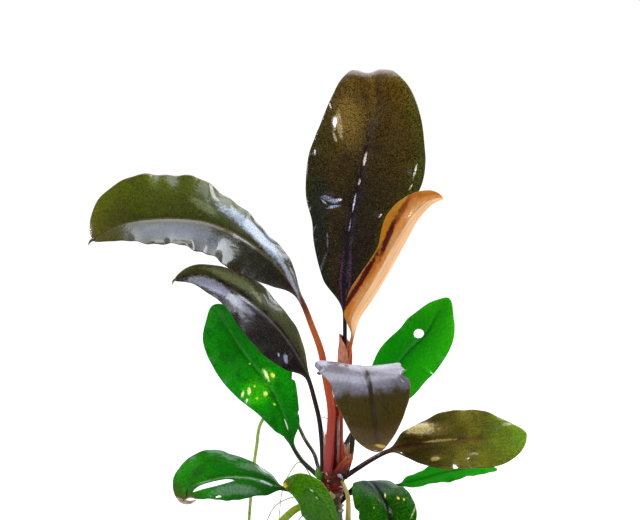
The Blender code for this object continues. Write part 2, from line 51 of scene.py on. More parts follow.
# Leaf sheet, in millimetres
HALF_COLUMNS = 36  # columns from the midrib to the margin
ROW_SPACING = 0.4
STALK_ROW_SPACING = 0.9
BLADE_THICKNESS = 0.5
MARGIN_THICKNESS = 0.12
TIP_THINNING = 0.35  # share of the thickness lost from the foot of a blade to its tip
ABOVE_RIB = 0.35  # share of the thickness above the midrib's line
SMALLEST_HALF_WIDTH = 0.05
LAST_ROW = 0.992  # share of the blade's quarter turn at which its last section stands
RIPPLE_LAG = 2  # radians by which the right margin's ripples lag behind the left one's
SECOND_RIPPLE = 0.4  # strength of a margin's second, quicker ripple
NECK_SHARE = 0.14  # share of the blade over which the round stalk flattens into the blade
HEEL = 1.6  # how far a stalk runs on into the stem
WIDTH_AT = (0, 0.1, 0.25, 0.4, 0.55, 0.7, 0.85, 0.95, 1)  # shares of a blade's length

def paint(red, green, blue):
    """A colour given as it looks on a screen, from 0 to 255, as Blender's linear colour."""
    return tuple(c / 12.92 if c <= 0.04045 else ((c + 0.055) / 1.055) ** 2.4 for c in
                 (red / 255, green / 255, blue / 255))


def leaf(name, slot, stalk, rib, face, left, right, fold, curl, radius, waves, rolls=(), swellings=(), nicks=(),
         holes=()):
    """One leaf: lines in mm, half widths at WIDTH_AT, and angles in degrees at the base and the tip.

    rolls are (side, share along, spread, share across where it starts, degrees), swellings are (mm across,
    mm along, width, length, height), nicks are (side, share along, spread, share of the width lost) and holes
    are (mm across, mm along, width, length, degrees).
    """
    return dict(name=name, slot=slot, stalk=stalk, rib=rib, face=face, left=left, right=right,
                fold=fold, curl=curl, radius=radius, waves=waves, rolls=rolls, swellings=swellings, nicks=nicks,
                holes=holes)


LEAVES = (
    leaf("leaf_upright", "leaf_dark_olive",
         stalk=((1.1, 0.3, 27.8), (1.1, 0.5, 36), (1.4, 0.8, 45), (2.3, 1.0, 54), (2.5, 1.0, 60)),
         rib=((2.5, 1.2, 65), (3, 4, 80.5), (5, 7, 93.5), (8, 10, 107.5), (9.5, 12.5, 119.5), (9.5, 14, 124.5),
              (9.5, 17, 127.3), (9.5, 20.5, 126.3)),
         face=((0, -1, 0), (0, -1, 0.15), (0, -1, 0.2), (0, 0, 1)),
         left=(0.6, 4.5, 8.6, 12.3, 14, 12.5, 9.5, 4.8, 0),
         right=(0.6, 4.4, 8.8, 12.5, 15.6, 14.0, 9.9, 4.6, 0),
         fold=((18, 12), (3, 3)), curl=((-10, -10), (-8, -8)), radius=(0.75, 0.5), waves=(4, 0.25),
         swellings=((-7.6, 49, 3.4, 9, 0.5), (-6.3, 29, 7, 4, -0.7), (-3.5, 26.5, 3, 3, 0.3), (6.9, 27.4, 2, 2, 0.3),
                    (13, 40, 3, 4, 0.5), (-10.3, 54, 2, 3, 0.5), (-12.6, 46, 2, 2.5, 0.4), (-12.4, 40, 2, 3, 0.5),
                    (-1.2, 66, 4.5, 4, -0.9), (-9, 17, 3, 6, 0.4)),
         nicks=(("left", 0.33, 0.05, 0.07),)),
    leaf("leaf_young_rolled", "leaf_orange",
         stalk=((1.3, -1.9, 27.8), (1.4, -1.4, 36), (1.6, -1.1, 45), (3.0, -0.8, 54)),
         rib=((4.1, -0.5, 59.5), (5.5, -1, 65), (9.2, -1.2, 71), (13.4, -1.2, 78), (17.3, -1, 85),
              (20.8, -0.8, 90.7), (24.3, -0.6, 94.2), (27, -0.5, 95.4)),
         face=((-1, -0.3, 0.2), (-0.9, -0.25, 0.45), (-0.8, -0.3, 0.5), (-0.4, -0.3, 0.9)),
         left=(0.6, 3.2, 5.8, 5.4, 5.3, 7.1, 6.2, 3.4, 0), right=(0.6, 1.7, 2.3, 2.6, 2.8, 2.7, 2.2, 1.3, 0),
         fold=((38, 50), (38, 50)), curl=((30, 45), (30, 45)), radius=(0.75, 0.45), waves=(3, 0.1)),
    leaf("leaf_upper_left", "leaf_olive_arching",
         stalk=((-1.6, -2.0, 27.8), (-1.1, -2.2, 36), (-0.9, -2.0, 42), (-2.2, -1.4, 50), (-3.6, -1.0, 57.5),
                (-5.8, -0.5, 63.5)),
         rib=((-8, 0, 69), (-14, -1, 78), (-22, -2, 85), (-31.5, -3, 89.5), (-43.5, -4, 90.5), (-53.5, -5, 89),
              (-60, -6, 85.5)),
         face=((0.4, -0.9, 0.2), (0, -0.85, 0.5), (0, -0.75, 0.67), (-0.1, -0.68, 0.73)),
         left=(0.6, 3.2, 8, 10.5, 10.8, 10.2, 7.8, 3.6, 0), right=(0.6, 3, 6.2, 9.2, 12.6, 13.4, 11.4, 6, 0),
         fold=((-2, -16), (10, 24)), curl=((0, -4), (0, -6)), radius=(1.2, 0.7), waves=(5, 0.7),
         rolls=(("right", 0.33, 0.2, 0.1, -30), ("left", 0.55, 0.3, 0, 14)),
         swellings=((-9.5, 45, 2, 3, 0.4), (-9.5, 38, 2, 3, 0.4), (6, 22, 3, 2, 0.3))),
    leaf("leaf_middle_left", "leaf_purple_brown",
         stalk=((-3.1, -0.1, 27.8), (-3.3, 0.1, 34), (-4.0, 0.2, 40), (-5.2, 0.2, 45)),
         rib=((-6.3, 0, 49), (-10, -1.5, 57), (-14, -3, 62.7), (-20, -4.5, 69), (-26, -6, 73.3), (-35.5, -8, 76.7),
              (-39.5, -9, 75.8)),
         face=((0.4, -0.9, 0), (0.25, -0.85, 0.3), (0.2, -0.8, 0.45), (0, -0.75, 0.65)),
         left=(0.6, 3.6, 6.7, 8.2, 8.2, 6.6, 4.8, 2.0, 0), right=(0.6, 1.9, 4.3, 5.2, 6.3, 5.6, 4, 2, 0),
         fold=((-4, -6), (18, 6)), curl=((-8, -20), (-2, -10)), radius=(0.65, 0.55), waves=(3, 0.4),
         rolls=(("left", 0.7, 0.25, 0, 20),), swellings=((-2.9, 10, 3, 3, 0.6), (-2.5, 8, 2, 2, -0.4))),
    leaf("leaf_green_left", "leaf_green_spotted",
         stalk=((-4.0, 0.6, 25.0), (-5.6, 1.4, 26.4), (-8.2, 2.9, 28.6)),
         rib=((-10.3, 4, 31.6), (-12.6, 5, 38.3), (-17, 6.5, 47.6), (-22.3, 8, 54), (-27.2, 9.5, 61.3),
              (-31, 10, 67.6)),
         face=((0.3, -0.9, 0.4), (0.2, -1, 0.1), (0, -1, 0.1), (-0.1, -1, 0.1)),
         left=(0.6, 2.6, 5.2, 7.7, 8.4, 8.3, 6.9, 3.2, 0), right=(0.6, 2.8, 5, 7, 7.5, 7.4, 6, 3.2, 0),
         fold=((8, 8), (2, 2)), curl=((-8, -8), (-8, -8)), radius=(0.65, 0.55), waves=(4, 0.35),
         nicks=(("right", 0.38, 0.012, 0.12), ("right", 0.19, 0.01, 0.1), ("left", 0.09, 0.02, 0.2))),
    leaf("leaf_low_left_slotted", "leaf_green_old",
         stalk=((-3.1, -1.1, 19.6), (-5.4, -1.3, 20.6), (-9, -1.6, 21.7)),
         rib=((-12.5, -2, 22.4), (-18.5, -3, 25), (-22.5, -4, 26), (-30.5, -6, 25.7), (-36, -8, 24),
              (-39, -9, 21)),
         face=((0.2, -0.6, 0.8), (0.1, -0.78, 0.62), (0, -0.78, 0.62), (-0.4, -0.75, 0.5)),
         left=(0.6, 3.1, 4.7, 6.5, 6.5, 5.6, 4.4, 2.6, 0), right=(0.6, 2, 3.8, 5.8, 8.4, 8.6, 6.6, 3.8, 0),
         fold=((4, 4), (4, 4)), curl=((-14, -14), (-18, -18)), radius=(0.65, 0.55), waves=(3, 0.3),
         nicks=(("left", 0.93, 0.02, 0.2),), rolls=(("left", 0.95, 0.05, 0.3, 60),),
         holes=((-1.4, 19.7, 1.6, 11.8, 2), (-5.1, 19.2, 0.6, 1.8, 0))),
    leaf("leaf_green_right_holed", "leaf_green_bright",
         stalk=((1.0, 2.0, 27.8), (2.0, 3.2, 31), (4.6, 6.4, 35.5)),
         rib=((8.5, 10, 40.6), (12.9, 12, 46.8), (18.6, 14, 54.8), (23.5, 15.5, 59.5), (27.4, 17, 65.8),
              (29.5, 17.5, 68.6)),
         face=((-0.3, -0.9, 0.3), (-0.1, -1, 0.2), (0, -1, 0.1), (0, -1, 0.2)),
         left=(0.6, 3, 5.2, 6.2, 5.8, 6.2, 4.3, 2, 0), right=(0.6, 4.5, 7.4, 8.2, 8.6, 7.3, 5.2, 2.6, 0),
         fold=((8, 8), (4, 4)), curl=((-8, -8), (-8, -8)), radius=(0.7, 0.55), waves=(4, 0.35),
         holes=((-1.5, 23.7, 2.4, 2.9, -25),)),
    leaf("leaf_front_bent", "leaf_olive_folded",
         stalk=((2.9, 0.4, 26.2), (3.9, 0.2, 30), (4.6, -0.6, 38), (4.9, -2.6, 46), (5.2, -4.8, 51.4)),
         rib=((5.7, -7, 53.7), (6.4, -9, 54.2), (7.5, -15, 53.3), (8.4, -19, 50.4), (9.1, -21, 45.3),
              (9.8, -22, 40.6), (10.6, -22, 35.2)),
         face=((0, 1, 0.2), (0, 0.3, 1), (0, -0.8, 0.8), (0, -1, 0)),
         left=(0.6, 8, 9.2, 9.9, 9.5, 7.7, 5, 2.4, 0), right=(0.6, 13.4, 12.6, 9.8, 9, 7.3, 5.6, 3.2, 0),
         fold=((2, 4), (5, 5)), curl=((10, 20), (-12, -12)), radius=(0.65, 0.6), waves=(3, 0.3),
         rolls=(("right", 0.16, 0.08, 0.76, -300), ("left", 0.41, 0.04, 0.75, 120)),
         nicks=(("left", 0.41, 0.03, 0.06),)),
    leaf("leaf_right_olive", "leaf_olive_right",
         stalk=((3.0, -1.3, 25.7), (5.4, -1.7, 27.4), (9, -2.1, 29.8)),
         rib=((12.8, -2.5, 31.9), (16.8, -3, 33.1), (25, -4.5, 34.6), (33, -6, 35.5), (41, -7, 36.4),
              (47.6, -8, 37.2)),
         face=((-0.4, -0.7, 0.6), (-0.2, -0.8, 0.6), (0, -0.82, 0.57), (0, -0.78, 0.62)),
         left=(0.6, 3.3, 5.8, 7.9, 8.5, 7.8, 4.6, 2.4, 0), right=(0.6, 2.2, 5.6, 7.6, 7.8, 8.2, 7.2, 4.8, 0),
         fold=((10, 10), (4, 4)), curl=((-10, -10), (-10, -10)), radius=(0.65, 0.6), waves=(3, 0.3),
         swellings=((-4.3, 9.3, 3, 6, 0.5), (4.8, 12.8, 2, 3, 0.3), (-4, 30, 4, 4, 0.5), (5, 22, 2, 4, 0.4))),
    leaf("leaf_right_green_edge", "leaf_green_edge_on",
         stalk=((2.6, 0.9, 20.6), (5.6, 2.4, 20.9), (10.5, 4.3, 21.2)),
         rib=((15.6, 6, 21.7), (21.7, 7, 23.1), (29.5, 8.5, 24.9), (37.2, 10, 25.9), (41.7, 11, 25.2)),
         face=((-0.1, -0.2, 1), (-0.1, -0.22, 0.97), (-0.1, -0.22, 0.97), (0, -0.2, 0.97)),
         left=(0.6, 3, 4.5, 5.5, 5.8, 5.5, 4, 2.2, 0), right=(0.6, 3, 4.5, 5.5, 5.8, 5.5, 4, 2.2, 0),
         fold=((8, 8), (3, 3)), curl=((-8, -8), (-8, -8)), radius=(0.65, 0.55), waves=(3, 0.3)),
    leaf("leaf_front_low_left", "leaf_green_small",
         stalk=((-0.1, -3.3, 5.2), (0.5, -5.0, 5.6)),
         rib=((1.1, -7.2, 7.4), (-0.3, -9.3, 16.3), (-2.3, -10.0, 20.5), (-5.5, -10.2, 23.7), (-9.2, -10, 25.1),
              (-12.9, -9.5, 25.2)),
         face=((-0.6, -0.5, 0.8), (-0.45, -0.9, 0.15), (-0.4, -0.9, 0.2), (-0.2, -0.9, 0.4)),
         left=(0.6, 3.4, 6.4, 7.6, 7.2, 5.8, 3.8, 2, 0), right=(0.6, 1.2, 1.3, 1.5, 2.0, 2.8, 2.9, 1.7, 0),
         fold=((4, 4), (2, 2)), curl=((-12, -12), (-14, -14)), radius=(0.6, 0.5), waves=(2, 0.15),
         swellings=((-0.4, 19, 1, 2, 0.2), (-1, 16.5, 1, 2, 0.2))),
    leaf("leaf_front_low_right", "leaf_green_dark",
         stalk=((2.45, -1.8, 20.2), (4.2, -2.5, 22.2), (5.5, -3.5, 23.6)),
         rib=((6.7, -5, 24.4), (8.5, -7, 25.1), (10.6, -12, 23.5), (12.5, -16, 21), (14.1, -18.5, 16.5),
              (15.3, -19, 10.9)),
         face=((-0.5, 0.6, 0.6), (0, 0.35, 1), (0, -0.7, 0.75), (0, -1, 0.1)),
         left=(0.6, 4.4, 5.6, 6.3, 6.8, 6.6, 4.8, 2.8, 0), right=(0.6, 4.2, 6, 7.2, 7.8, 7.2, 5.2, 3, 0),
         fold=((14, 14), (6, 6)), curl=((-25, -25), (-10, -10)), radius=(0.6, 0.55), waves=(3, 0.25),
         nicks=(("right", 0.53, 0.05, 0.1),)),
)

# Roots in millimetres: the route, and the radius at its head, middle and end
ROOTS = {
    "root_front_yellow": (
        ((1.8, -3.1, 24.4), (3.0, -4.7, 21.8), (3.3, -5.4, 15), (3.3, -6.2, 8), (4.2, -9, 2.6), (6, -14, 0.8),
         (8, -21, 0.75), (9, -28, 0.6)),
        (0.35, 0.8, 0.55)),
    "root_left_green": (
        ((-3.1, -0.9, 17.0), (-5, -1.2, 18.1), (-8.4, -2, 18), (-13, -3.4, 14.8), (-17.5, -5.5, 7.5),
         (-22, -8, 1.6), (-27, -10.5, 0.9), (-32, -12, 0.7)),
        (0.8, 1.0, 0.65)),
    "root_aerial_green": (
        ((-3.5, 1.2, 26.6), (-5.2, 3.2, 30.4), (-7.4, 6, 33.4), (-11, 8.8, 39.2), (-15, 10, 41.2),
         (-18.6, 10, 37.8), (-20, 10, 31), (-21.4, 10, 19), (-22.2, 10.6, 9), (-22.8, 12, 2),
         (-25, 14.5, 0.55), (-30, 18, 0.5)),
        (0.5, 0.45, 0.4)),
    "root_prop_back_left": (
        ((-1.5, 2.0, 10), (-3.2, 4, 10.4), (-6.5, 8.5, 7), (-10, 13, 2), (-14, 18, 0.85), (-19, 24, 0.6)),
        (0.8, 0.85, 0.55)),
    "root_prop_back_right": (
        ((1.4, 1.8, 12), (3.2, 3.8, 12.2), (7, 8, 8.5), (11.5, 12.5, 2.6), (16, 16.5, 0.85), (22, 21, 0.6)),
        (0.8, 0.85, 0.55)),
    "root_prop_right": (
        ((2.5, -0.9, 8.6), (5, -1.8, 8.4), (9.5, -3.4, 5.2), (15, -5, 1.5), (21, -6, 0.8), (28, -6.4, 0.6)),
        (0.8, 0.85, 0.55)),
}

STEM_LINE = ((0, 0, 0), (0, 0, 2.5), (-0.1, -0.2, 8), (-0.2, -0.5, 15), (-0.3, -0.6, 20), (-0.5, -0.6, 24.5),
             (-0.6, -0.6, 27.4))
STEM_RADII = (3.0, 2.7, 2.3, 2.2, 2.3, 2.9, 2.6)


def smooth(knots, values, at):
    """Values read from a smooth curve that passes through the given ones."""
    knots = np.asarray(knots, float)
    values = np.asarray(values, float)
    at = np.clip(np.asarray(at, float), knots[0], knots[-1])
    slopes = np.gradient(values, knots, axis=0)
    i = np.clip(np.searchsorted(knots, at, side="right") - 1, 0, len(knots) - 2)
    span = knots[i + 1] - knots[i]
    f = (at - knots[i]) / span
    if values.ndim == 2:
        f = f[:, None]
        span = span[:, None]
    start = (2 * f**3 - 3 * f**2 + 1) * values[i] + (f**3 - 2 * f**2 + f) * span * slopes[i]
    end = (3 * f**2 - 2 * f**3) * values[i + 1] + (f**3 - f**2) * span * slopes[i + 1]
    return start + end


def unit(vectors):
    return vectors / np.linalg.norm(vectors, axis=-1, keepdims=True)


def trace(points):
    """A smooth line through the points: its samples, and the length of the line up to each one."""
    points = np.asarray(points, float)
    knots = np.concatenate([[0], np.cumsum(np.linalg.norm(np.diff(points, axis=0), axis=1))])
    spans = [np.linspace(a, b, SAMPLES_PER_SPAN, endpoint=False) for a, b in zip(knots, knots[1:])]
    samples = smooth(knots, points, np.concatenate([*spans, knots[-1:]]))
    lengths = np.concatenate([[0], np.cumsum(np.linalg.norm(np.diff(samples, axis=0), axis=1))])
    return samples, lengths


def read_line(samples, lengths, at):
    """Points and directions of a traced line at these lengths."""
    points = np.stack([np.interp(at, lengths, samples[:, k]) for k in range(3)], axis=1)
    ahead = np.stack([np.interp(at + DIRECTION_REACH, lengths, samples[:, k]) for k in range(3)], axis=1)
    behind = np.stack([np.interp(at - DIRECTION_REACH, lengths, samples[:, k]) for k in range(3)], axis=1)
    return points, unit(ahead - behind)


def bell(distance, spread):
    """1 at no distance, and nearly 0 beyond twice the spread."""
    return np.exp(-(distance / spread) ** 2)


def half_section(width, fold, curl, steps, rolls):
    """Distances across and up from midrib to margin, on a line that leaves at fold and turns by curl."""
    q = (np.arange(steps) + 0.5)[None, :] / steps
    slope = np.radians(fold)[:, None] + np.radians(curl)[:, None] * q
    for near, start, degrees in rolls:
        slope = slope + near[:, None] * math.radians(degrees) * np.clip((q - start) / (1 - start), 0, 1)
    step = width[:, None] / steps
    across = np.concatenate([np.zeros((len(width), 1)), np.cumsum(np.cos(slope) * step, axis=1)], axis=1)
    up = np.concatenate([np.zeros((len(width), 1)), np.cumsum(np.sin(slope) * step, axis=1)], axis=1)
    return across, up


def pierce(rings, place, holes):
    """Moves the grid points round each hole onto its edge, and says which cells of the sheet are left out."""
    rows, count = place.shape[0], place.shape[1] // 2
    across, along = place[:, :count, 0], place[:, :count, 1]
    gone = np.zeros((rows - 1, count - 1), bool)
    for x, y, width, length, degrees in holes:
        turn = math.radians(degrees)
        over, down = across - x, along - y
        u = (over * math.cos(turn) + down * math.sin(turn)) * 2 / width
        v = (down * math.cos(turn) - over * math.sin(turn)) * 2 / length
        reach = np.sqrt(u * u + v * v)
        middle = (reach[:-1, :-1] + reach[1:, :-1] + reach[:-1, 1:] + reach[1:, 1:]) / 4
        inside = middle < 1
        touched = np.zeros((rows, count), int)
        kept = np.zeros((rows, count), int)
        for dr in (0, 1):
            for dc in (0, 1):
                touched[dr:rows - 1 + dr, dc:count - 1 + dc] += inside
                kept[dr:rows - 1 + dr, dc:count - 1 + dc] += ~inside
        for r, c in np.argwhere((touched > 0) & (kept > 0)):
            goal_x = x + over[r, c] / reach[r, c]
            goal_y = y + down[r, c] / reach[r, c]
            row = np.interp(goal_y, along[:, c], np.arange(rows))
            low = min(int(row), rows - 2)
            share = row - low
            line = across[low] * (1 - share) + across[low + 1] * share
            column = np.interp(goal_x, line, np.arange(count))
            first = min(int(column), count - 2)
            part = column - first
            last = 2 * count - 1
            for here, a, b in ((c, first, first + 1), (last - c, last - first, last - first - 1)):
                near = rings[low, a] * (1 - part) + rings[low, b] * part
                far = rings[low + 1, a] * (1 - part) + rings[low + 1, b] * part
                rings[r, here] = near * (1 - share) + far * share
        gone |= inside
    return gone


def leaf_sheet(item):
    """A leaf as a closed mesh of rings, from the heel of its stalk to the tip of its blade.

    Each point keeps three vectors: place is its distance across and along in millimetres, share is the same
    as a share of the half width and of the length (from -1 at the heel through 0 at the neck to 1 at the
    tip), with 1 on the upper face and 0 on the lower one, and lift is the leaf's own upward direction.
    """
    stalk = np.asarray(item["stalk"], float)
    heel = stalk[0] - HEEL * unit(stalk[1] - stalk[0])
    samples, lengths = trace([heel, *stalk, *item["rib"]])
    neck = lengths[SAMPLES_PER_SPAN * (len(stalk) + 1)]
    blade = lengths[-1] - neck
    turns = np.linspace(0, 1, int(blade / ROW_SPACING) + 1)[1:] * math.pi / 2 * LAST_ROW
    on_stalk = np.linspace(0, neck, int(neck / STALK_ROW_SPACING) + 1)
    at = np.concatenate([on_stalk, neck + blade * np.sin(turns)])
    share = np.where(at < neck, at / neck - 1, (at - neck) / blade)
    points, along = read_line(samples, lengths, at)

    face = smooth((-1, 0, 0.5, 1), item["face"], share)
    normal = unit(face - along * np.sum(face * along, axis=1, keepdims=True))
    right = np.cross(along, normal)

    on_blade = np.clip(share, 0, 1)
    rounded = np.arcsin(on_blade) * 2 / math.pi
    knots = np.arcsin(WIDTH_AT) * 2 / math.pi
    sides = []
    for side, column, hand in (("left", 0, -1), ("right", 1, 1)):
        width = np.maximum(smooth(knots, item[side], rounded), SMALLEST_HALF_WIDTH)
        for where, centre, spread, lost in item["nicks"]:
            if where == side:
                width = width * (1 - lost * bell(share - centre, spread))
        rolls = [(bell(share - centre, spread), start, degrees)
                 for where, centre, spread, start, degrees in item["rolls"] if where == side]
        fold = np.interp(on_blade, (0, 1), [pair[column] for pair in item["fold"]])
        curl = np.interp(on_blade, (0, 1), [pair[column] for pair in item["curl"]])
        across, up = half_section(width, fold, curl, HALF_COLUMNS, rolls)
        count, height = item["waves"]
        phase = 2 * math.pi * count * on_blade + column * RIPPLE_LAG
        ripple = height * np.sin(math.pi * on_blade) * (np.sin(phase) + SECOND_RIPPLE * np.sin(2.7 * phase + 1))
        up = up + ripple[:, None] * np.linspace(0, 1, HALF_COLUMNS + 1)[None, :] ** 3
        flat = width[:, None] * np.linspace(0, 1, HALF_COLUMNS + 1)[None, :]
        sides.append((across * hand, up, flat * hand))
    across, up, flat = (np.concatenate([sides[0][k][:, :0:-1], sides[1][k]], axis=1) for k in range(3))

    for x, y, width, length, height in item["swellings"]:
        up = up + height * bell(flat - x, width / 2) * bell(at[:, None] - neck - y, length / 2)

    count = 2 * HALF_COLUMNS + 1
    off_rib = np.linspace(-1, 1, count)[None, :] * np.ones((len(at), 1))
    thick = MARGIN_THICKNESS + (BLADE_THICKNESS - MARGIN_THICKNESS) * (1 - off_rib**4)
    thick = thick * (1 - TIP_THINNING * on_blade[:, None])

    def there_and_back(upper, lower):
        return np.concatenate([upper, lower[:, ::-1]], axis=1)

    flat_across = there_and_back(across, across)
    flat_up = there_and_back(up + thick * ABOVE_RIB, up - thick * (1 - ABOVE_RIB))
    radius = np.interp(share, (-1, 0), item["radius"])[:, None]
    turn = math.pi * (1 - (np.arange(2 * count) + 0.5) / count)
    round_across = radius * np.cos(turn)[None, :]
    round_up = radius * np.sin(turn)[None, :]
    blend = np.clip(share / NECK_SHARE, 0, 1)[:, None]
    blend = blend * blend * (3 - 2 * blend)
    ring_across = round_across + (flat_across - round_across) * blend
    ring_up = round_up + (flat_up - round_up) * blend
    rings = (points[:, None, :] + ring_across[:, :, None] * right[:, None, :]
             + ring_up[:, :, None] * normal[:, None, :])

    full = np.ones((1, 2 * count))
    upper = there_and_back(np.ones_like(off_rib), np.zeros_like(off_rib))
    place = np.stack([there_and_back(flat, flat), (at - neck)[:, None] * full, upper], axis=2)
    shares = np.stack([there_and_back(off_rib, off_rib), share[:, None] * full, upper], axis=2)
    lift = normal[:, None, :] * full[:, :, None]
    gone = pierce(rings, place, item["holes"]) if item["holes"] else None
    return ring_mesh(item["name"] + "_sheet", rings, gone, place=place, share=shares, lift=lift)


def new_object(name, data):
    """Puts a mesh, curve, lamp or camera into the scene."""
    obj = bpy.data.objects.new(name, data)
    bpy.context.scene.collection.objects.link(obj)
    return obj


def ring_mesh(name, rings, gone=None, **vectors):
    """A closed mesh through rings of equally many points, with named vectors kept on its points.

    gone marks the cells of a sheet that a hole leaves out of both faces; a wall then joins the faces round it.
    """
    rows, count = rings.shape[:2]
    index = np.arange(rows * count).reshape(rows, count)
    across = np.roll(index, -1, axis=1)
    quads = np.stack([index[:-1], across[:-1], across[1:], index[1:]], axis=2)
    walls = []
    if gone is not None:
        half = count // 2
        full = np.zeros((rows - 1, count), bool)
        full[:, :half - 1] = gone
        full[:, half:count - 1] = gone[:, ::-1]
        quads = quads[~full]
        padded = np.pad(gone, 1)
        for r, c in np.argwhere(gone):
            for dr, dc, first, second in ((-1, 0, (r, c), (r, c + 1)), (1, 0, (r + 1, c + 1), (r + 1, c)),
                                          (0, -1, (r + 1, c), (r, c)), (0, 1, (r, c + 1), (r + 1, c + 1))):
                if not padded[r + 1 + dr, c + 1 + dc]:
                    upper = [index[first], index[second]]
                    lower = [index[second[0], count - 1 - second[1]], index[first[0], count - 1 - first[1]]]
                    walls.append(tuple(int(n) for n in upper + lower))
    quads = [tuple(quad) for quad in quads.reshape(-1, 4)] + walls
    caps = [tuple(index[0][::-1]), tuple(index[-1])]
    data = bpy.data.meshes.new(name)
    data.from_pydata(rings.reshape(-1, 3) * MM, [], [*quads, *caps])
    for title, values in vectors.items():
        data.attributes.new(title, "FLOAT_VECTOR", "POINT").data.foreach_set("vector", values.ravel())
    data.validate()
    turned = bmesh.new()
    turned.from_mesh(data)
    loose = [vert for vert in turned.verts if not vert.link_faces]
    bmesh.ops.delete(turned, geom=loose, context="VERTS")
    bmesh.ops.recalc_face_normals(turned, faces=turned.faces[:])
    turned.to_mesh(data)
    turned.free()
    data.shade_smooth()
    return new_object(name, data)


# Node trees

class Wire:
    """A value that flows through a node tree. Arithmetic with it adds Math nodes to that tree."""

    def __init__(self, socket):
        self.socket = socket
        self.tree = socket.id_data

    def calc(self, operation, *others):
        return calc(self.tree, operation, self, *others)

    def __add__(self, other):
        return self.calc("ADD", other)

    def __sub__(self, other):
        return self.calc("SUBTRACT", other)

    def __rsub__(self, other):
        return calc(self.tree, "SUBTRACT", other, self)

    def __mul__(self, other):
        return self.calc("MULTIPLY", other)

    def __truediv__(self, other):
        return self.calc("DIVIDE", other)

    def __rtruediv__(self, other):
        return calc(self.tree, "DIVIDE", other, self)

    def __abs__(self):
        return self.calc("ABSOLUTE")


def add(tree, kind, values=None, **settings):
    """A node with its settings, its inputs linked to wires or set to values, placed right of the last one."""
    node = tree.nodes.new(kind)
    node.location = (220 * (len(tree.nodes) // 6), -180 * (len(tree.nodes) % 6))
    for key, value in settings.items():
        setattr(node, key, value)
    for name, value in (values or {}).items():
        if isinstance(value, Wire):
            tree.links.new(value.socket, node.inputs[name])
        else:
            node.inputs[name].default_value = value
    return node


def wire(tree, kind, values=None, output=0, **settings):
    """One output of a new node."""
    return Wire(add(tree, kind, values, **settings).outputs[output])


def calc(tree, operation, *values):
    return wire(tree, "ShaderNodeMath", dict(enumerate(values)), operation=operation)


def ramp_between(value, low, high):
    """0 below low, 1 above high, and smooth between."""
    values = {"Value": value, "From Min": low, "From Max": high}
    return wire(value.tree, "ShaderNodeMapRange", values, interpolation_type="SMOOTHSTEP")


def read_between(value, low, high, first, last):
    """first up to low, last from high on, and a straight change between."""
    values = {"Value": value, "From Min": low, "From Max": high, "To Min": first, "To Max": last}
    return wire(value.tree, "ShaderNodeMapRange", values)


def noise(place, scale, detail=2.0, roughness=0.5):
    values = {"Vector": place, "Scale": scale, "Detail": detail, "Roughness": roughness}
    return wire(place.tree, "ShaderNodeTexNoise", values)


def join(tree, x=0.0, y=0.0, z=0.0):
    return wire(tree, "ShaderNodeCombineXYZ", {"X": x, "Y": y, "Z": z})


def split(vector):
    return [Wire(socket) for socket in add(vector.tree, "ShaderNodeSeparateXYZ", {"Vector": vector}).outputs]


def vector_calc(operation, first, second):
    """Two vectors calculated together, or one vector and the number that scales it."""
    values = {0: first, "Scale" if operation == "SCALE" else 1: second}
    return wire(first.tree, "ShaderNodeVectorMath", values, operation=operation)


def side_veins(across, along, spacing, slope, width):
    """1 on the lines of the side veins, which leave the midrib and bend towards the tip."""
    lean = abs(across).calc("POWER", 1.15) * slope
    wave = abs(((along - lean) / spacing * math.pi).calc("SINE"))
    return 1.0 - ramp_between(wave, 0.0, width)


def new_group(kind, name, inputs, outputs):
    """A node group and the wires of its inputs, each a number unless its title says what else it is."""
    tree = bpy.data.node_groups.new(name, kind)
    others = {"Geometry": "Geometry", "Material": "Material", "Place": "Vector", "Centre": "Vector"}
    for title, value in inputs.items():
        socket = "NodeSocket" + others.get(title, "Float")
        given = tree.interface.new_socket(title, in_out="INPUT", socket_type=socket)
        if value is not None:
            given.default_value = value
    for title in outputs:
        socket = "NodeSocket" + others.get(title, "Float")
        tree.interface.new_socket(title, in_out="OUTPUT", socket_type=socket)
    sockets = tree.nodes.new("NodeGroupInput").outputs
    return tree, {title: Wire(sockets[title]) for title in inputs}


def end_geometry_tree(tree, geometry, material):
    realized = wire(tree, "GeometryNodeRealizeInstances", {"Geometry": geometry})
    painted = wire(tree, "GeometryNodeSetMaterial", {"Geometry": realized, "Material": material})
    add(tree, "NodeGroupOutput", {"Geometry": painted})
    return tree


def grow(start, tree, name, sizes):
    """Runs a Geometry Nodes tree on an object and keeps the result as a plain mesh object."""
    modifier = start.modifiers.new(tree.name, "NODES")
    modifier.node_group = tree
    for item in tree.interface.items_tree:
        if item.in_out == "INPUT" and item.name in sizes:
            modifier[item.identifier] = sizes[item.name]
    graph = bpy.context.evaluated_depsgraph_get()
    data = bpy.data.meshes.new_from_object(start.evaluated_get(graph))
    data.name = name
    bpy.data.objects.remove(start)
    return new_object(name, data)


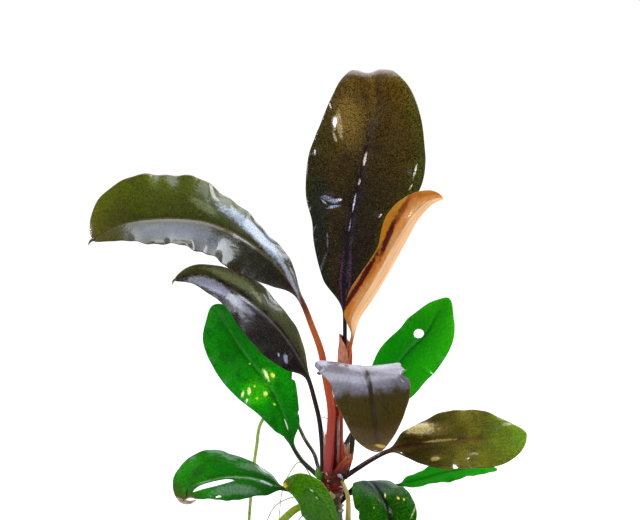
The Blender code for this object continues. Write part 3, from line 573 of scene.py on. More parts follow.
def leaf_relief_tree():
    """Raises what follows a leaf: its midrib, side veins and the soft swellings between them."""
    tree, given = new_group("GeometryNodeTree", "leaf relief", {
        "Geometry": None, "Rib Width": 0.55, "Rib Groove": 0.22, "Rib Keel": 0.38, "Vein Spacing": 2.4,
        "Vein Slope": 1.3, "Vein Depth": 0.02, "Swelling": 0.3, "Swelling Size": 7.0, "Seed": 0.0,
        "Material": None}, ["Geometry"])

    def kept(title):
        return wire(tree, "GeometryNodeInputNamedAttribute", {"Name": title}, data_type="FLOAT_VECTOR")

    across, along, upper = split(kept("place"))
    half, share, _ = split(kept("share"))
    reach = across / given["Rib Width"]
    rib = (reach * reach * -1.0).calc("EXPONENT") * (1.0 - ramp_between(share, 0.6, 1.0))
    veins = side_veins(across, along, given["Vein Spacing"], given["Vein Slope"], 0.55)
    veins = veins * (1.0 - ramp_between(abs(half), 0.7, 0.97)) * given["Vein Depth"]
    sunk = rib * given["Rib Groove"] + veins
    keeled = rib * given["Rib Keel"] + veins
    depth = sunk * upper + keeled * (1.0 - upper)
    bumps = noise(join(tree, across, along, given["Seed"]), 1.0 / given["Swelling Size"])
    swelling = (bumps - 0.5) * given["Swelling"]
    rise = (swelling - depth) * ramp_between(share, 0.0, 0.15) * MM
    offset = vector_calc("SCALE", kept("lift"), rise)
    moved = wire(tree, "GeometryNodeSetPosition", {"Geometry": given["Geometry"], "Offset": offset})
    return end_geometry_tree(tree, moved, given["Material"])


def root_tree():
    """A round root along a path: its thickness from the path, knobbly skin, and a round tip."""
    tree, given = new_group("GeometryNodeTree", "root", {
        "Geometry": None, "Step": 0.35, "Knobs": 0.08, "Knob Size": 1.6, "Seed": 0.0, "Material": None},
        ["Geometry"])
    line = wire(tree, "GeometryNodeResampleCurve", {"Curve": given["Geometry"], "Length": given["Step"] * MM},
                mode="LENGTH")
    along = wire(tree, "GeometryNodeSplineParameter", output="Length") / MM
    line = wire(tree, "GeometryNodeStoreNamedAttribute", {"Geometry": line, "Name": "along", "Value": along},
                data_type="FLOAT", domain="POINT")
    ring = wire(tree, "GeometryNodeCurvePrimitiveCircle", {"Resolution": 18, "Radius": 1.0}, mode="RADIUS")
    skin = wire(tree, "GeometryNodeCurveToMesh", {
        "Curve": line, "Profile Curve": ring, "Scale": wire(tree, "GeometryNodeInputRadius"), "Fill Caps": True})
    skin = wire(tree, "GeometryNodeSetShadeSmooth", {"Geometry": skin})
    here = vector_calc("SCALE", wire(tree, "GeometryNodeInputPosition"), 1 / MM)
    seeded = vector_calc("ADD", here, join(tree, given["Seed"]))
    rise = (noise(seeded, 1.0 / given["Knob Size"], 3.0) - 0.5) * given["Knobs"] * MM
    offset = vector_calc("SCALE", wire(tree, "GeometryNodeInputNormal"), rise)
    moved = wire(tree, "GeometryNodeSetPosition", {"Geometry": skin, "Offset": offset})
    return end_geometry_tree(tree, moved, given["Material"])


# Effects that several finishes share

def new_effect(name, outputs=("Mask",), **sizes):
    """A shader node group that reads a place in millimetres, with its sizes as further inputs."""
    return new_group("ShaderNodeTree", name, {"Place": None, **sizes}, outputs)


def end_effect(tree, **results):
    add(tree, "NodeGroupOutput", results)
    return tree


def vein_effect():
    tree, given = new_effect("veins", Spacing=2.4, Slope=1.3)
    across, along, _ = split(given["Place"])
    return end_effect(tree, Mask=side_veins(across, along, given["Spacing"], given["Slope"], 0.45))


def speckle_effect():
    """Small round dots: coverage is the share of cells with a dot."""
    tree, given = new_effect("speckle", Size=0.5, Coverage=0.5)
    cells = add(tree, "ShaderNodeTexVoronoi", {"Vector": given["Place"], "Scale": 1.0 / given["Size"]}).outputs
    dot = 1.0 - ramp_between(Wire(cells["Distance"]), 0.12, 0.42)
    parts = add(tree, "ShaderNodeSeparateColor", {"Color": Wire(cells["Color"])}).outputs
    chance, strength = Wire(parts[0]), Wire(parts[1])
    return end_effect(tree, Mask=dot * chance.calc("LESS_THAN", given["Coverage"]) * strength)


def grain_effect():
    """The fine light and dark grain of the skin, as a tone to multiply a colour by."""
    tree, given = new_effect("grain", ("Tone",), Size=0.45, Dark=0.4, Light=1.7)
    grain = noise(given["Place"], 1.0 / given["Size"], 1.0)
    return end_effect(tree, Tone=read_between(grain, 0.36, 0.64, given["Dark"], given["Light"]))


def streak_effect():
    """Fine streaks that run along a leaf."""
    tree, given = new_effect("streaks", Size=0.35, Length=12.0)
    across, along, side = split(given["Place"])
    drawn = join(tree, across / given["Size"], along / given["Length"], side)
    return end_effect(tree, Mask=ramp_between(noise(drawn, 1.0, 1.0), 0.42, 0.66))


def mottle_effect():
    """Cloudy patches between low and high."""
    tree, given = new_effect("mottle", Size=4.0, Low=0.45, High=0.65)
    clouds = noise(given["Place"], 1.0 / given["Size"], 4.0, 0.6)
    return end_effect(tree, Mask=ramp_between(clouds, given["Low"], given["High"]))


def spot_effect():
    """One soft oval mark on a leaf, for real spots and for painted glints, reflections and shade."""
    tree, given = new_effect("spot", Centre=None, Length=1.0, Width=0.5, Turn=0.0)
    away = vector_calc("SUBTRACT", given["Place"], given["Centre"])
    turned = wire(tree, "ShaderNodeVectorRotate", {"Vector": away, "Angle": given["Turn"]},
                  rotation_type="Z_AXIS")
    across, along, _ = split(turned)
    over = across * 2.0 / given["Width"]
    down = along * 2.0 / given["Length"]
    ragged = (noise(given["Place"], 1.4, 3.0) - 0.5) * 0.9
    reach = (over * over + down * down).calc("SQRT") + ragged
    return end_effect(tree, Mask=1.0 - ramp_between(reach, 0.55, 1.1))


def film_effect():
    """The thin film of water on a leaf: drier and wetter patches, and small cells under it."""
    tree, given = new_effect("wet film", ("Roughness", "Height"), Wet=0.12, Dry=0.35)
    place = given["Place"]
    roughness = read_between(noise(place, 0.25, 3.0), 0.35, 0.7, given["Wet"], given["Dry"])
    cells = wire(tree, "ShaderNodeTexVoronoi", {"Vector": place, "Scale": 3.2}, "Distance")
    return end_effect(tree, Roughness=roughness, Height=cells * 0.35 + noise(place, 1.3))


# Finishes. Their colours are red, green and blue from 0 to 255, and a stop is (position, red, green, blue).

def look(**changes):
    """What a leaf's finish starts from, with its own values on top.

    Its marks are (mm across, mm along, length, width, degrees, colour, amount): real spots and streaks of the leaf,
    and also painted glints, painted reflections and painted shade. The glow of the marks and of the underside
    is painted light, given off though no lamp is there.
    """
    values = dict(across_share=0.4, under=(70, 60, 40), rib=(50, 40, 20), rib_share=0.6, rib_width=0.8,
                  rib_flare=1.0, rib_groove=0.2, vein=(40, 40, 20), vein_share=0.25, speckle=(180, 170, 110),
                  speckle_share=0.25, speckle_size=0.4, mottle=(30, 30, 15), mottle_share=0.4, mottle_size=4.0,
                  margin=(60, 40, 30), margin_share=0.5, streak=(120, 110, 60), streak_share=0.0,
                  glow=(120, 110, 20), glow_share=0.1, glow_above=1.0, wet=(0.12, 0.34), grain=(0.45, 0.5, 1.5),
                  coat=0.6, sheen=1.4, shine=0.1, under_veins=0.45, under_shine=0.0, spots=())
    values.update(changes)
    return values


DARK_STALK = ((-1, 58, 22, 18), (-0.5, 40, 18, 16), (-0.02, 44, 24, 20))
GREEN_STALK = ((-1, 40, 24, 18), (-0.5, 26, 26, 16), (-0.02, 24, 40, 18))

LOOKS = {
    # Painted light on this leaf: the white and blue-white marks are painted glints along the edges, the midrib and the
    # lower left, the grey-blue streaks are painted reflections, and the brightest gold marks are a painted highlight
    # over the leaf's own gold. The dark mark at the lower left darkens it.
    "leaf_upright": look(
        along=((-1, 86, 26, 20), (-0.4, 62, 20, 22), (0, 22, 8, 20), (0.25, 22, 20, 16), (0.42, 44, 36, 16),
               (0.6, 80, 60, 14), (0.75, 102, 74, 8), (1, 116, 78, 2)),
        across=((-1, 40, 58, 16), (-0.5, 76, 58, 18), (0, 40, 24, 14), (0.5, 70, 58, 12), (1, 84, 110, 6)),
        under=(92, 60, 54), rib=(30, 12, 34), rib_share=0.75, rib_width=1.1, speckle=(170, 156, 84),
        speckle_share=0.35, speckle_size=0.3, mottle=(24, 16, 14), mottle_size=6, glow=(130, 110, 14),
        glow_share=0.06, grain=(0.27, 0.24, 1.95), rib_flare=2.4, rib_groove=0.04, coat=0.35, wet=(0.16, 0.36),
        shine=0.2,
        spots=((0, 60, 26, 2.4, 0, (98, 74, 22), 0.8), (0, 49, 8, 2.2, 0, (60, 42, 18), 0.5),
               (4.6, 14, 24, 7, 0, (28, 12, 14), 0.45), (-10.5, 54, 2.0, 0.5, -20, (235, 238, 250), 0.9),
               (-12.6, 39.9, 1.8, 0.5, -8, (235, 238, 250), 0.8), (-11.1, 25.6, 2.4, 0.5, 12, (200, 210, 235), 0.7),
               (13.2, 40.4, 4, 0.6, 4, (226, 232, 220), 0.8), (13.0, 36.6, 2, 0.5, 20, (226, 232, 200), 0.7),
               (-5.2, 51, 22, 11, -12, (206, 170, 90), 0.12), (-5.6, 52, 14, 6, -12, (220, 180, 90), 0.12),
               (-7.6, 49, 9, 1.6, -14, (255, 226, 160), 0.35), (-8.4, 45.5, 3, 0.8, -30, (255, 236, 200), 0.6),
               (-6.6, 29.3, 1.4, 5.5, 8, (200, 210, 245), 0.6), (-4.2, 29.6, 0.8, 1.8, -20, (230, 234, 255), 0.85),
               (-7.8, 28.4, 0.6, 2.4, 30, (220, 228, 255), 0.7), (-9.3, 16.5, 7, 0.9, 20, (120, 140, 140), 0.4),
               (-6.2, 13, 7, 0.7, 18, (130, 136, 156), 0.4), (-5.2, 27.6, 0.9, 4, -20, (200, 210, 245), 0.55),
               (0.15, 41.2, 4, 0.8, 0, (246, 232, 210), 0.9), (0, 35, 2, 0.6, 0, (240, 226, 210), 0.7),
               (-0.2, 29.5, 5, 0.5, 0, (225, 228, 250), 0.8), (-0.3, 24, 4, 0.4, 0, (200, 205, 240), 0.5),
               (-9, 24, 26, 7, 0, (26, 30, 34), 0.45), (-1.2, 10, 20, 0.8, 2, (92, 60, 92), 0.5),
               (1.1, 10, 20, 0.8, -2, (92, 60, 92), 0.5), (6.9, 27.4, 1.4, 0.5, 30, (225, 225, 245), 0.7),
               (-9.6, 20, 5, 0.7, 20, (150, 170, 160), 0.4), (-5.4, 19, 4, 0.5, -10, (150, 150, 170), 0.35))),
    # The dark maroon marks are painted shadow in the trough behind the near half's margin, the small cream mark is a
    # painted glint, and the pale underside gives off a painted glow.
    "leaf_young_rolled": look(
        along=((-1, 176, 44, 22), (-0.4, 190, 70, 34), (0, 206, 104, 40), (0.4, 196, 120, 14), (0.8, 190, 126, 10),
               (1, 220, 96, 24)),
        across=((-1, 226, 172, 30), (-0.86, 200, 132, 8), (-0.74, 214, 118, 46), (-0.55, 246, 182, 96),
                (-0.3, 255, 216, 140), (1, 255, 216, 150)),
        across_share=0.85, under=(255, 236, 192), rib=(236, 170, 110), rib_share=0.5, rib_width=1.0,
        vein=(190, 100, 40), vein_share=0.3, speckle=(240, 190, 120), speckle_share=0.2, mottle=(150, 70, 8),
        mottle_share=0.3, margin=(236, 160, 90), glow=(255, 218, 130), glow_share=0.5, glow_above=0.3,
        under_veins=0.0, under_shine=0.6, wet=(0.16, 0.36), grain=(0.45, 0.94, 1.06), streak=(226, 130, 60),
        streak_share=0.45,
        spots=((-6.0, 29, 15, 3.6, -10, (206, 140, 18), 0.9), (-4.5, 13, 28, 1.7, 0, (84, 8, 3), 1.0),
               (-4.1, 27.5, 14, 1.8, -8, (90, 10, 4), 1.0), (-4.6, 35, 8, 1.6, -10, (120, 30, 8), 0.7),
               (-5.4, 7, 1.6, 0.5, 20, (255, 240, 200), 0.7))),
    # The lavender and pale blue marks are painted reflections of the sky, one of them a painted highlight along the
    # midrib near the base, with a dark strip beside the large one.
    "leaf_upper_left": look(
        along=((-1, 196, 70, 74), (-0.7, 206, 76, 56), (-0.4, 220, 92, 36), (-0.15, 216, 108, 44), (0, 110, 50, 26),
               (0.15, 36, 30, 20), (0.5, 62, 66, 16), (0.8, 92, 96, 10), (1, 144, 136, 14)),
        across=((-1, 24, 20, 12), (-0.3, 30, 26, 14), (0.1, 66, 74, 14), (1, 102, 116, 12)),
        across_share=0.6, under=(120, 78, 56), rib=(130, 110, 80), rib_share=0.4, rib_width=0.5,
        speckle=(150, 150, 80), speckle_share=0.35, mottle=(24, 22, 12), margin=(110, 50, 30), margin_share=0.7,
        glow=(120, 120, 10), wet=(0.16, 0.3), coat=0.35, grain=(0.3, 0.7, 1.3), rib_groove=0.12,
        spots=((3.9, 21, 24, 4.6, 14, (180, 196, 222), 0.6), (5.0, 15, 25, 1.9, 15.7, (14, 22, 12), 0.8),
               (-4.8, 40, 30, 6.5, 0, (84, 92, 122), 0.4), (0.9, 8, 17, 1.7, 12, (196, 206, 228), 0.6),
               (4.5, 34, 9, 3, 30, (150, 160, 110), 0.3), (-0.9, 34, 36, 0.5, 0, (96, 70, 50), 0.6))),
    # The lavender marks near the tip are painted reflections, the pale blue-white ones near the foot are painted
    # glints, and the pale green ones lighten the upper half.
    "leaf_middle_left": look(
        along=(*DARK_STALK, (0.1, 26, 16, 14), (0.5, 36, 26, 22), (1, 56, 50, 34)),
        across=((-1, 20, 14, 16), (0, 34, 24, 20), (0.2, 88, 94, 54), (1, 112, 122, 66)),
        across_share=0.8, under=(110, 70, 60), rib=(130, 120, 110), rib_share=0.45, rib_width=0.4,
        speckle=(160, 150, 100), speckle_share=0.4, speckle_size=0.3, mottle=(16, 10, 12), glow=(90, 70, 20),
        glow_share=0.05, wet=(0.2, 0.38), coat=0.2, grain=(0.3, 0.74, 1.26), rib_groove=0.08, shine=0.2,
        spots=((-1.8, 38, 16, 4.8, 0, (190, 196, 220), 0.7), (-2.6, 29, 12, 3.0, 0, (150, 154, 176), 0.5),
               (3.2, 33, 16, 4, 0, (150, 164, 116), 0.6), (2.6, 26, 5, 1.4, 20, (170, 176, 120), 0.5),
               (-3.2, 9.3, 3.4, 1.3, 8, (190, 206, 240), 0.75), (-4.2, 11.5, 1.4, 0.6, 20, (220, 230, 255), 0.7))),
    # The yellow marks are the leaf's own spots, and they also give off a painted glow.
    "leaf_green_left": look(
        along=(*GREEN_STALK, (0.1, 10, 140, 2), (0.4, 26, 205, 2), (0.7, 16, 140, 1), (1, 22, 150, 2)),
        across=((-1, 30, 188, 4), (0, 8, 120, 1), (1, 14, 160, 2)),
        under=(60, 162, 25), rib=(6, 95, 2), rib_width=0.5, vein=(6, 95, 2), vein_share=0.2, speckle=(100, 250, 30),
        speckle_share=0.08, mottle=(6, 80, 2), mottle_share=0.6, mottle_size=3, margin=(20, 112, 5),
        glow=(30, 238, 2), glow_share=0.35, grain=(0.5, 0.75, 1.25), shine=0.7,
        spots=((-3.6, 17.8, 9, 9, 20, (70, 200, 6), 0.6), (1.8, 19.4, 5, 3.4, 0, (90, 190, 8), 0.5),
               (1.2, 19.9, 3.8, 1.0, 12, (255, 255, 190), 1.0), (2.5, 18.8, 1.4, 1.2, 0, (250, 250, 110), 1.0),
               (-4.8, 19.2, 2.6, 1.2, 30, (255, 255, 170), 1.0), (-1.6, 15.9, 1.6, 1.3, 0, (250, 255, 130), 1.0),
               (-6.6, 19.7, 2.2, 1.0, 40, (255, 255, 200), 1.0), (-2.9, 19.4, 0.9, 0.7, 0, (230, 236, 90), 0.9),
               (-4.1, 15.9, 0.9, 0.8, 0, (220, 230, 80), 0.9), (-0.2, 24.7, 0.7, 0.6, 0, (210, 210, 60), 0.8),
               (-0.8, 12.4, 0.9, 0.7, 0, (220, 230, 90), 0.9), (0.1, 6.5, 3.5, 0.4, 0, (230, 240, 230), 0.9))),
    # The pale grey-green marks on both halves are painted sheen, and the thin dark mark at the dead tip is painted
    # shade in its fold.
    "leaf_low_left_slotted": look(
        along=(*GREEN_STALK, (0.1, 10, 88, 7), (0.5, 22, 144, 4), (0.85, 54, 190, 6), (0.97, 120, 100, 50),
               (1, 150, 110, 60)),
        across=((-1, 50, 136, 25), (0, 18, 120, 5), (1, 40, 168, 4)),
        under=(90, 143, 40), rib=(120, 176, 45), rib_share=0.3, rib_width=0.3, vein=(10, 92, 4),
        speckle=(130, 209, 45), speckle_share=0.12, mottle=(10, 77, 4), mottle_share=0.5, margin=(30, 66, 10),
        glow=(40, 187, 5), glow_share=0.25, grain=(0.5, 0.75, 1.25),
        spots=((-2.4, 27.6, 3.2, 2.6, 0, (120, 90, 60), 0.9), (-2.2, 28.8, 1.8, 0.7, 0, (232, 222, 190), 0.9),
               (-0.8, 27.2, 3.6, 0.6, -40, (16, 40, 12), 0.8), (-3.8, 14, 16, 3.4, 0, (140, 176, 146), 0.55),
               (2.8, 9, 9, 2.4, 0, (150, 180, 150), 0.4), (3.2, 21.5, 7, 2.4, -35, (12, 66, 4), 0.4),
               (5.4, 18, 4, 2, 20, (12, 66, 4), 0.3))),
    "leaf_green_right_holed": look(
        along=(*GREEN_STALK, (0.1, 10, 125, 2), (0.5, 30, 180, 1), (1, 84, 226, 3)),
        across=((-1, 24, 155, 2), (0, 14, 130, 1), (1, 84, 230, 3)),
        under=(70, 200, 25), rib=(4, 88, 1), rib_share=0.8, rib_width=0.6, vein=(10, 125, 2), vein_share=0.3,
        speckle=(130, 250, 30), speckle_share=0.06, mottle=(10, 125, 2), margin=(20, 150, 3), glow=(40, 250, 1),
        glow_share=0.4, grain=(0.5, 0.85, 1.15)),
    # The lavender colours on the first half of the blade are painted reflections of the sky, as are the lavender and
    # white-lilac marks; the gold mark near the tip is a painted highlight.
    "leaf_front_bent": look(
        along=((-1, 44, 40, 24), (-0.3, 26, 36, 18), (0, 104, 102, 118), (0.2, 120, 118, 136),
               (0.36, 160, 158, 178), (0.45, 150, 148, 168), (0.53, 78, 68, 28), (0.7, 78, 66, 10),
               (0.88, 104, 74, 6), (0.97, 150, 110, 24), (1, 86, 44, 66)),
        across=((-1, 72, 56, 12), (0, 50, 36, 16), (1, 84, 68, 16)),
        across_share=0.15, under=(104, 66, 36), rib=(30, 12, 18), rib_share=0.95, rib_width=0.75, rib_flare=2.0,
        speckle=(150, 130, 60), speckle_share=0.2, mottle=(36, 30, 10), mottle_share=0.18, margin=(150, 116, 60),
        glow=(140, 110, 14), glow_share=0.08, wet=(0.24, 0.4), coat=0.35, grain=(0.3, 0.88, 1.12), rib_groove=0.08,
        streak=(110, 90, 18), streak_share=0.2,
        spots=((0, 21.5, 12, 1.8, 0, (70, 58, 20), 0.5), (-0.6, 28.0, 1.0, 3.0, 20, (255, 222, 120), 0.7),
               (-4.5, 9, 7, 4.5, 0, (150, 148, 166), 0.3), (11.5, 4.5, 5, 6, 0, (226, 218, 240), 0.55),
               (0.9, 28.9, 0.4, 1.0, 0, (200, 180, 235), 0.7))),
    # The gold marks are painted highlights along the edge and on the midrib, and the pale mark near the tip is a
    # painted glint.
    "leaf_right_olive": look(
        along=((-1, 56, 16, 16), (-0.3, 46, 8, 14), (0, 60, 14, 16), (0.2, 46, 32, 14), (0.5, 142, 138, 32),
               (0.8, 124, 142, 26), (1, 130, 180, 22)),
        across=((-1, 110, 100, 24), (0, 88, 66, 18), (1, 140, 134, 32)),
        rib_groove=0.03, streak=(156, 140, 60), streak_share=0.25, shine=0.25, under=(110, 86, 40),
        rib=(110, 10, 16), rib_share=0.4, rib_width=0.6, speckle=(200, 180, 60), speckle_share=0.35,
        mottle=(40, 30, 8), mottle_share=0.5, margin=(110, 110, 30), glow=(130, 140, 8), glow_share=0.18,
        wet=(0.14, 0.3), grain=(0.3, 0.7, 1.3),
        spots=((2.4, 10, 15, 4.6, 0, (50, 32, 14), 0.45), (0, 38.5, 6, 18, 0, (96, 196, 44), 0.35),
               (-3.6, 11, 13, 4.4, 4, (200, 170, 90), 0.4), (-4.1, 9.3, 9, 3.6, 8, (255, 234, 160), 0.95),
               (4.8, 12.8, 3, 1.3, 0, (236, 206, 110), 0.8), (-0.4, 14, 9, 0.8, 0, (226, 200, 120), 0.75),
               (-0.5, 34, 20, 18, 0, (120, 170, 36), 0.3), (0, 36, 9, 12, 0, (120, 180, 40), 0.3),
               (-3.2, 31, 3, 1, 0, (220, 240, 190), 0.5))),
    "leaf_right_green_edge": look(
        along=(*GREEN_STALK, (0.1, 14, 115, 3), (0.5, 30, 150, 2), (1, 50, 184, 5)),
        across=((-1, 30, 150, 2), (0, 12, 110, 2), (1, 40, 172, 4)),
        under=(80, 184, 25), rib=(10, 103, 4), mottle=(10, 103, 3), glow=(50, 218, 3), glow_share=0.5,
        speckle_share=0.06, grain=(0.5, 0.8, 1.2), wet=(0.5, 0.6), coat=0.0, sheen=1.05),
    # The two small pale dots are painted glints, and the marks give off a little painted glow.
    "leaf_front_low_left": look(
        along=(*GREEN_STALK, (0.1, 60, 124, 6), (0.5, 90, 164, 6), (0.9, 100, 176, 8), (0.985, 150, 150, 30),
               (1, 236, 210, 60)),
        sheen=1.3, coat=0.3, shine=0.3,
        across=((-1, 56, 116, 4), (0, 68, 128, 5), (0.6, 96, 150, 15), (1, 120, 196, 30)),
        under=(90, 154, 25), rib=(130, 198, 30), rib_share=0.35, rib_width=0.35, speckle=(150, 209, 40),
        speckle_share=0.3, mottle=(36, 84, 4), margin=(150, 180, 70), glow=(100, 210, 5), glow_share=0.32,
        grain=(0.45, 0.6, 1.4),
        spots=((-0.5, 26, 1.6, 1.4, 0, (240, 214, 60), 1.0), (-0.3, 19, 1.4, 0.4, 0, (236, 246, 200), 0.8),
               (-0.9, 16.6, 1.2, 0.4, 0, (236, 246, 200), 0.7))),
    # The dark blue-grey mark at the top is a painted reflection and the pale yellow-white one near the middle is a
    # painted glint; the yellow specks are the leaf's own and give off a little painted glow.
    "leaf_front_low_right": look(
        along=(*GREEN_STALK, (0.1, 14, 40, 14), (0.4, 20, 92, 5), (0.8, 30, 121, 6), (1, 70, 143, 15)),
        across=((-1, 24, 99, 6), (0, 6, 40, 6), (0.3, 26, 110, 6), (1, 60, 143, 15)),
        under=(70, 132, 25), rib=(4, 20, 10), rib_share=0.9, rib_width=0.9, speckle=(214, 196, 60),
        speckle_share=0.4, mottle=(10, 62, 4), mottle_share=0.5, margin=(60, 121, 20), glow=(60, 187, 5),
        glow_share=0.2, grain=(0.5, 0.7, 1.3), wet=(0.24, 0.42), coat=0.06, sheen=1.16, shine=0.25,
        spots=((0, 5.5, 9, 9, 0, (34, 44, 52), 0.5), (4.4, 11, 10, 2.4, 0, (20, 70, 8), 0.6),
               (3.2, 13.6, 0.8, 0.5, 30, (190, 200, 60), 0.7), (-3.4, 13.0, 1.1, 0.8, 0, (246, 236, 90), 0.9),
               (-4.6, 13.8, 0.8, 0.6, 0, (236, 226, 80), 0.9), (-6, 17, 5, 0.5, 40, (210, 220, 150), 0.7),
               (-0.9, 10.9, 2, 0.5, 20, (240, 240, 170), 0.9))),
}


CLOUDS_ALONG = 0.04  # how far clouding moves a leaf's colours along it, as a share of its length
CLOUDS_ACROSS = 0.25  # the same across it, as a share of its half width
CLOUDS_ON_SKIN = 0.03  # the same on a stem or root, as a share of the reach of its stops
FINE_MOTTLE = 0.2
DOT_COVERAGE = 0.8
RIB_AS_SEAM = 1.4  # how much plainer than a side vein the midrib shows underneath
UNDER_COVER = 0.9  # share of the underside's own colour over that of the upper face
LIT_COLOUR = 0.6  # share of its own glow in the colour of the light that comes through
STALK_DULL = 0.18  # roughness that a stalk has more than its blade
STALK_COAT = 0.1
SKIN_SHADE = (0.45, 0.4, 0.35, 1)  # linear, multiplied over a clouded skin
SKIN_CLOUDS = 0.45  # share of that shade in the clouds


def new_finish(name):
    """An empty material and its tree."""
    finish = bpy.data.materials.new(name)
    finish.use_nodes = True
    finish.node_tree.nodes.clear()
    return finish, finish.node_tree


def kept_value(tree, title, output="Vector"):
    """What a mesh keeps on its points under this name."""
    return wire(tree, "ShaderNodeAttribute", None, output, attribute_name=title, attribute_type="GEOMETRY")


def blended(amount, first, second):
    """The first colour, with an amount of the second over it."""
    tree = next(value.tree for value in (amount, first) if isinstance(value, Wire))
    colours = [value if isinstance(value, Wire) else (*paint(*value), 1) for value in (first, second)]
    return wire(tree, "ShaderNodeMix", {0: amount, 6: colours[0], 7: colours[1]}, 2, data_type="RGBA")


def multiplied(amount, first, second):
    """The first colour, multiplied with an amount of the second colour or tone."""
    return wire(first.tree, "ShaderNodeMix", {0: amount, 6: first, 7: second}, 2, data_type="RGBA",
                blend_type="MULTIPLY")


def colour_ramp(value, stops):
    """A colour read from stops at the value's position between the first and the last."""
    low, high = stops[0][0], stops[-1][0]
    node = add(value.tree, "ShaderNodeValToRGB", {"Fac": read_between(value, low, high, 0.0, 1.0)})
    elements = node.color_ramp.elements
    node.color_ramp.interpolation = "EASE"
    while len(elements) > 1:
        elements.remove(elements[-1])
    for n, (position, *colour) in enumerate(stops):
        spot = (position - low) / (high - low)
        element = elements[0] if n == 0 else elements.new(spot)
        element.position = spot
        element.color = (*paint(*colour), 1)
    return Wire(node.outputs["Color"])


def leaf_finish(name, own, effects):
    """A wet leaf: colours along and across it, clouded, veined, speckled and spotted, with painted glints,
    reflections and shade among its marks, a painted glow, and lit from behind.
    """
    finish, tree = new_finish(name)
    place = kept_value(tree, "place")
    across, _, upper = split(place)
    half, share, _ = split(kept_value(tree, "share"))
    on_blade = ramp_between(share, -0.01, 0.12)

    def effect(title, **sizes):
        return wire(tree, "ShaderNodeGroup", {"Place": place, **sizes}, node_tree=effects[title])

    clouds = effect("mottle", Size=own["mottle_size"])
    lengthwise = colour_ramp((clouds - 0.5) * on_blade * CLOUDS_ALONG + share, own["along"])
    crosswise = colour_ramp((clouds - 0.5) * CLOUDS_ACROSS + half, own["across"])
    colour = blended(on_blade * own["across_share"], lengthwise, crosswise)
    colour = blended(clouds * on_blade * own["mottle_share"], colour, own["mottle"])
    fine = effect("mottle", Size=1.1, Low=0.4, High=0.75)
    colour = blended(fine * FINE_MOTTLE, colour, own["mottle"])

    wide = own["rib_width"]
    rib = abs(across) / read_between(share, 0.0, 0.55, wide * own["rib_flare"], wide)
    before_tip = 1.0 - ramp_between(share, 0.7, 1.0)
    rib = (1.0 - ramp_between(rib, 0.4, 1.0)) * on_blade * before_tip
    veins = effect("veins")
    dots = effect("speckle", Size=own["speckle_size"], Coverage=DOT_COVERAGE)
    streaks = effect("streaks") * on_blade * own["streak_share"]
    for part, amount in (
            ("vein", veins * on_blade * own["vein_share"]),
            ("rib", rib * own["rib_share"]),
            ("speckle", dots * on_blade * own["speckle_share"]),
            ("streak", streaks),
            ("margin", ramp_between(abs(half), 0.95, 0.995) * on_blade * own["margin_share"])):
        colour = blended(amount, colour, own[part])

    # Marks painted onto the upper face: the leaf's real spots, and also painted glints, painted reflections and
    # painted shade.
    marked_or_glinting = 0.0
    for x, y, length, width, turn, spot_or_glint_colour, amount in own["spots"]:
        spot = effect("spot", Centre=(x, y, 1), Length=length, Width=width, Turn=math.radians(turn))
        spot = spot * upper * amount
        colour = blended(spot, colour, spot_or_glint_colour)
        marked_or_glinting = spot.calc("MAXIMUM", marked_or_glinting)

    below = (1.0 - upper) * on_blade
    seams = veins.calc("MAXIMUM", rib * RIB_AS_SEAM)
    underside = blended(streaks, own["under"], own["streak"])
    colour = blended(below * (UNDER_COVER - seams * own["under_veins"]), colour, underside)
    size, dark, light = own["grain"]
    colour = multiplied(on_blade, colour, effect("grain", Size=size, Dark=dark, Light=light))

    wet, dry = own["wet"]
    film = add(tree, "ShaderNodeGroup", {"Place": place, "Wet": wet, "Dry": dry}, node_tree=effects["film"]).outputs
    bump = wire(tree, "ShaderNodeBump", {"Height": Wire(film["Height"]), "Strength": 0.35, "Distance": 0.08 * MM})
    on_stalk = 1.0 - on_blade
    # The emission is a painted glow: the marks and the underside give off light of their own, though no lamp is there.
    shader = wire(tree, "ShaderNodeBsdfPrincipled", {
        "Base Color": colour, "Roughness": on_stalk * STALK_DULL + Wire(film["Roughness"]),
        "Coat Weight": on_stalk * (STALK_COAT - own["coat"]) + own["coat"], "Coat Roughness": 0.06,
        "IOR": own["sheen"], "Normal": bump, "Emission Color": colour,
        "Emission Strength": below * own["under_shine"] + marked_or_glinting * own["shine"]})
    through = blended(LIT_COLOUR - marked_or_glinting * LIT_COLOUR, colour, own["glow"])
    backlit = wire(tree, "ShaderNodeBsdfTranslucent", {"Color": through, "Normal": bump})
    lit = upper * (own["glow_above"] - 1.0) + 1.0
    mixed = wire(tree, "ShaderNodeMixShader", {"Fac": on_blade * lit * own["glow_share"], 1: shader, 2: backlit})
    add(tree, "ShaderNodeOutputMaterial", {"Surface": mixed})
    return finish


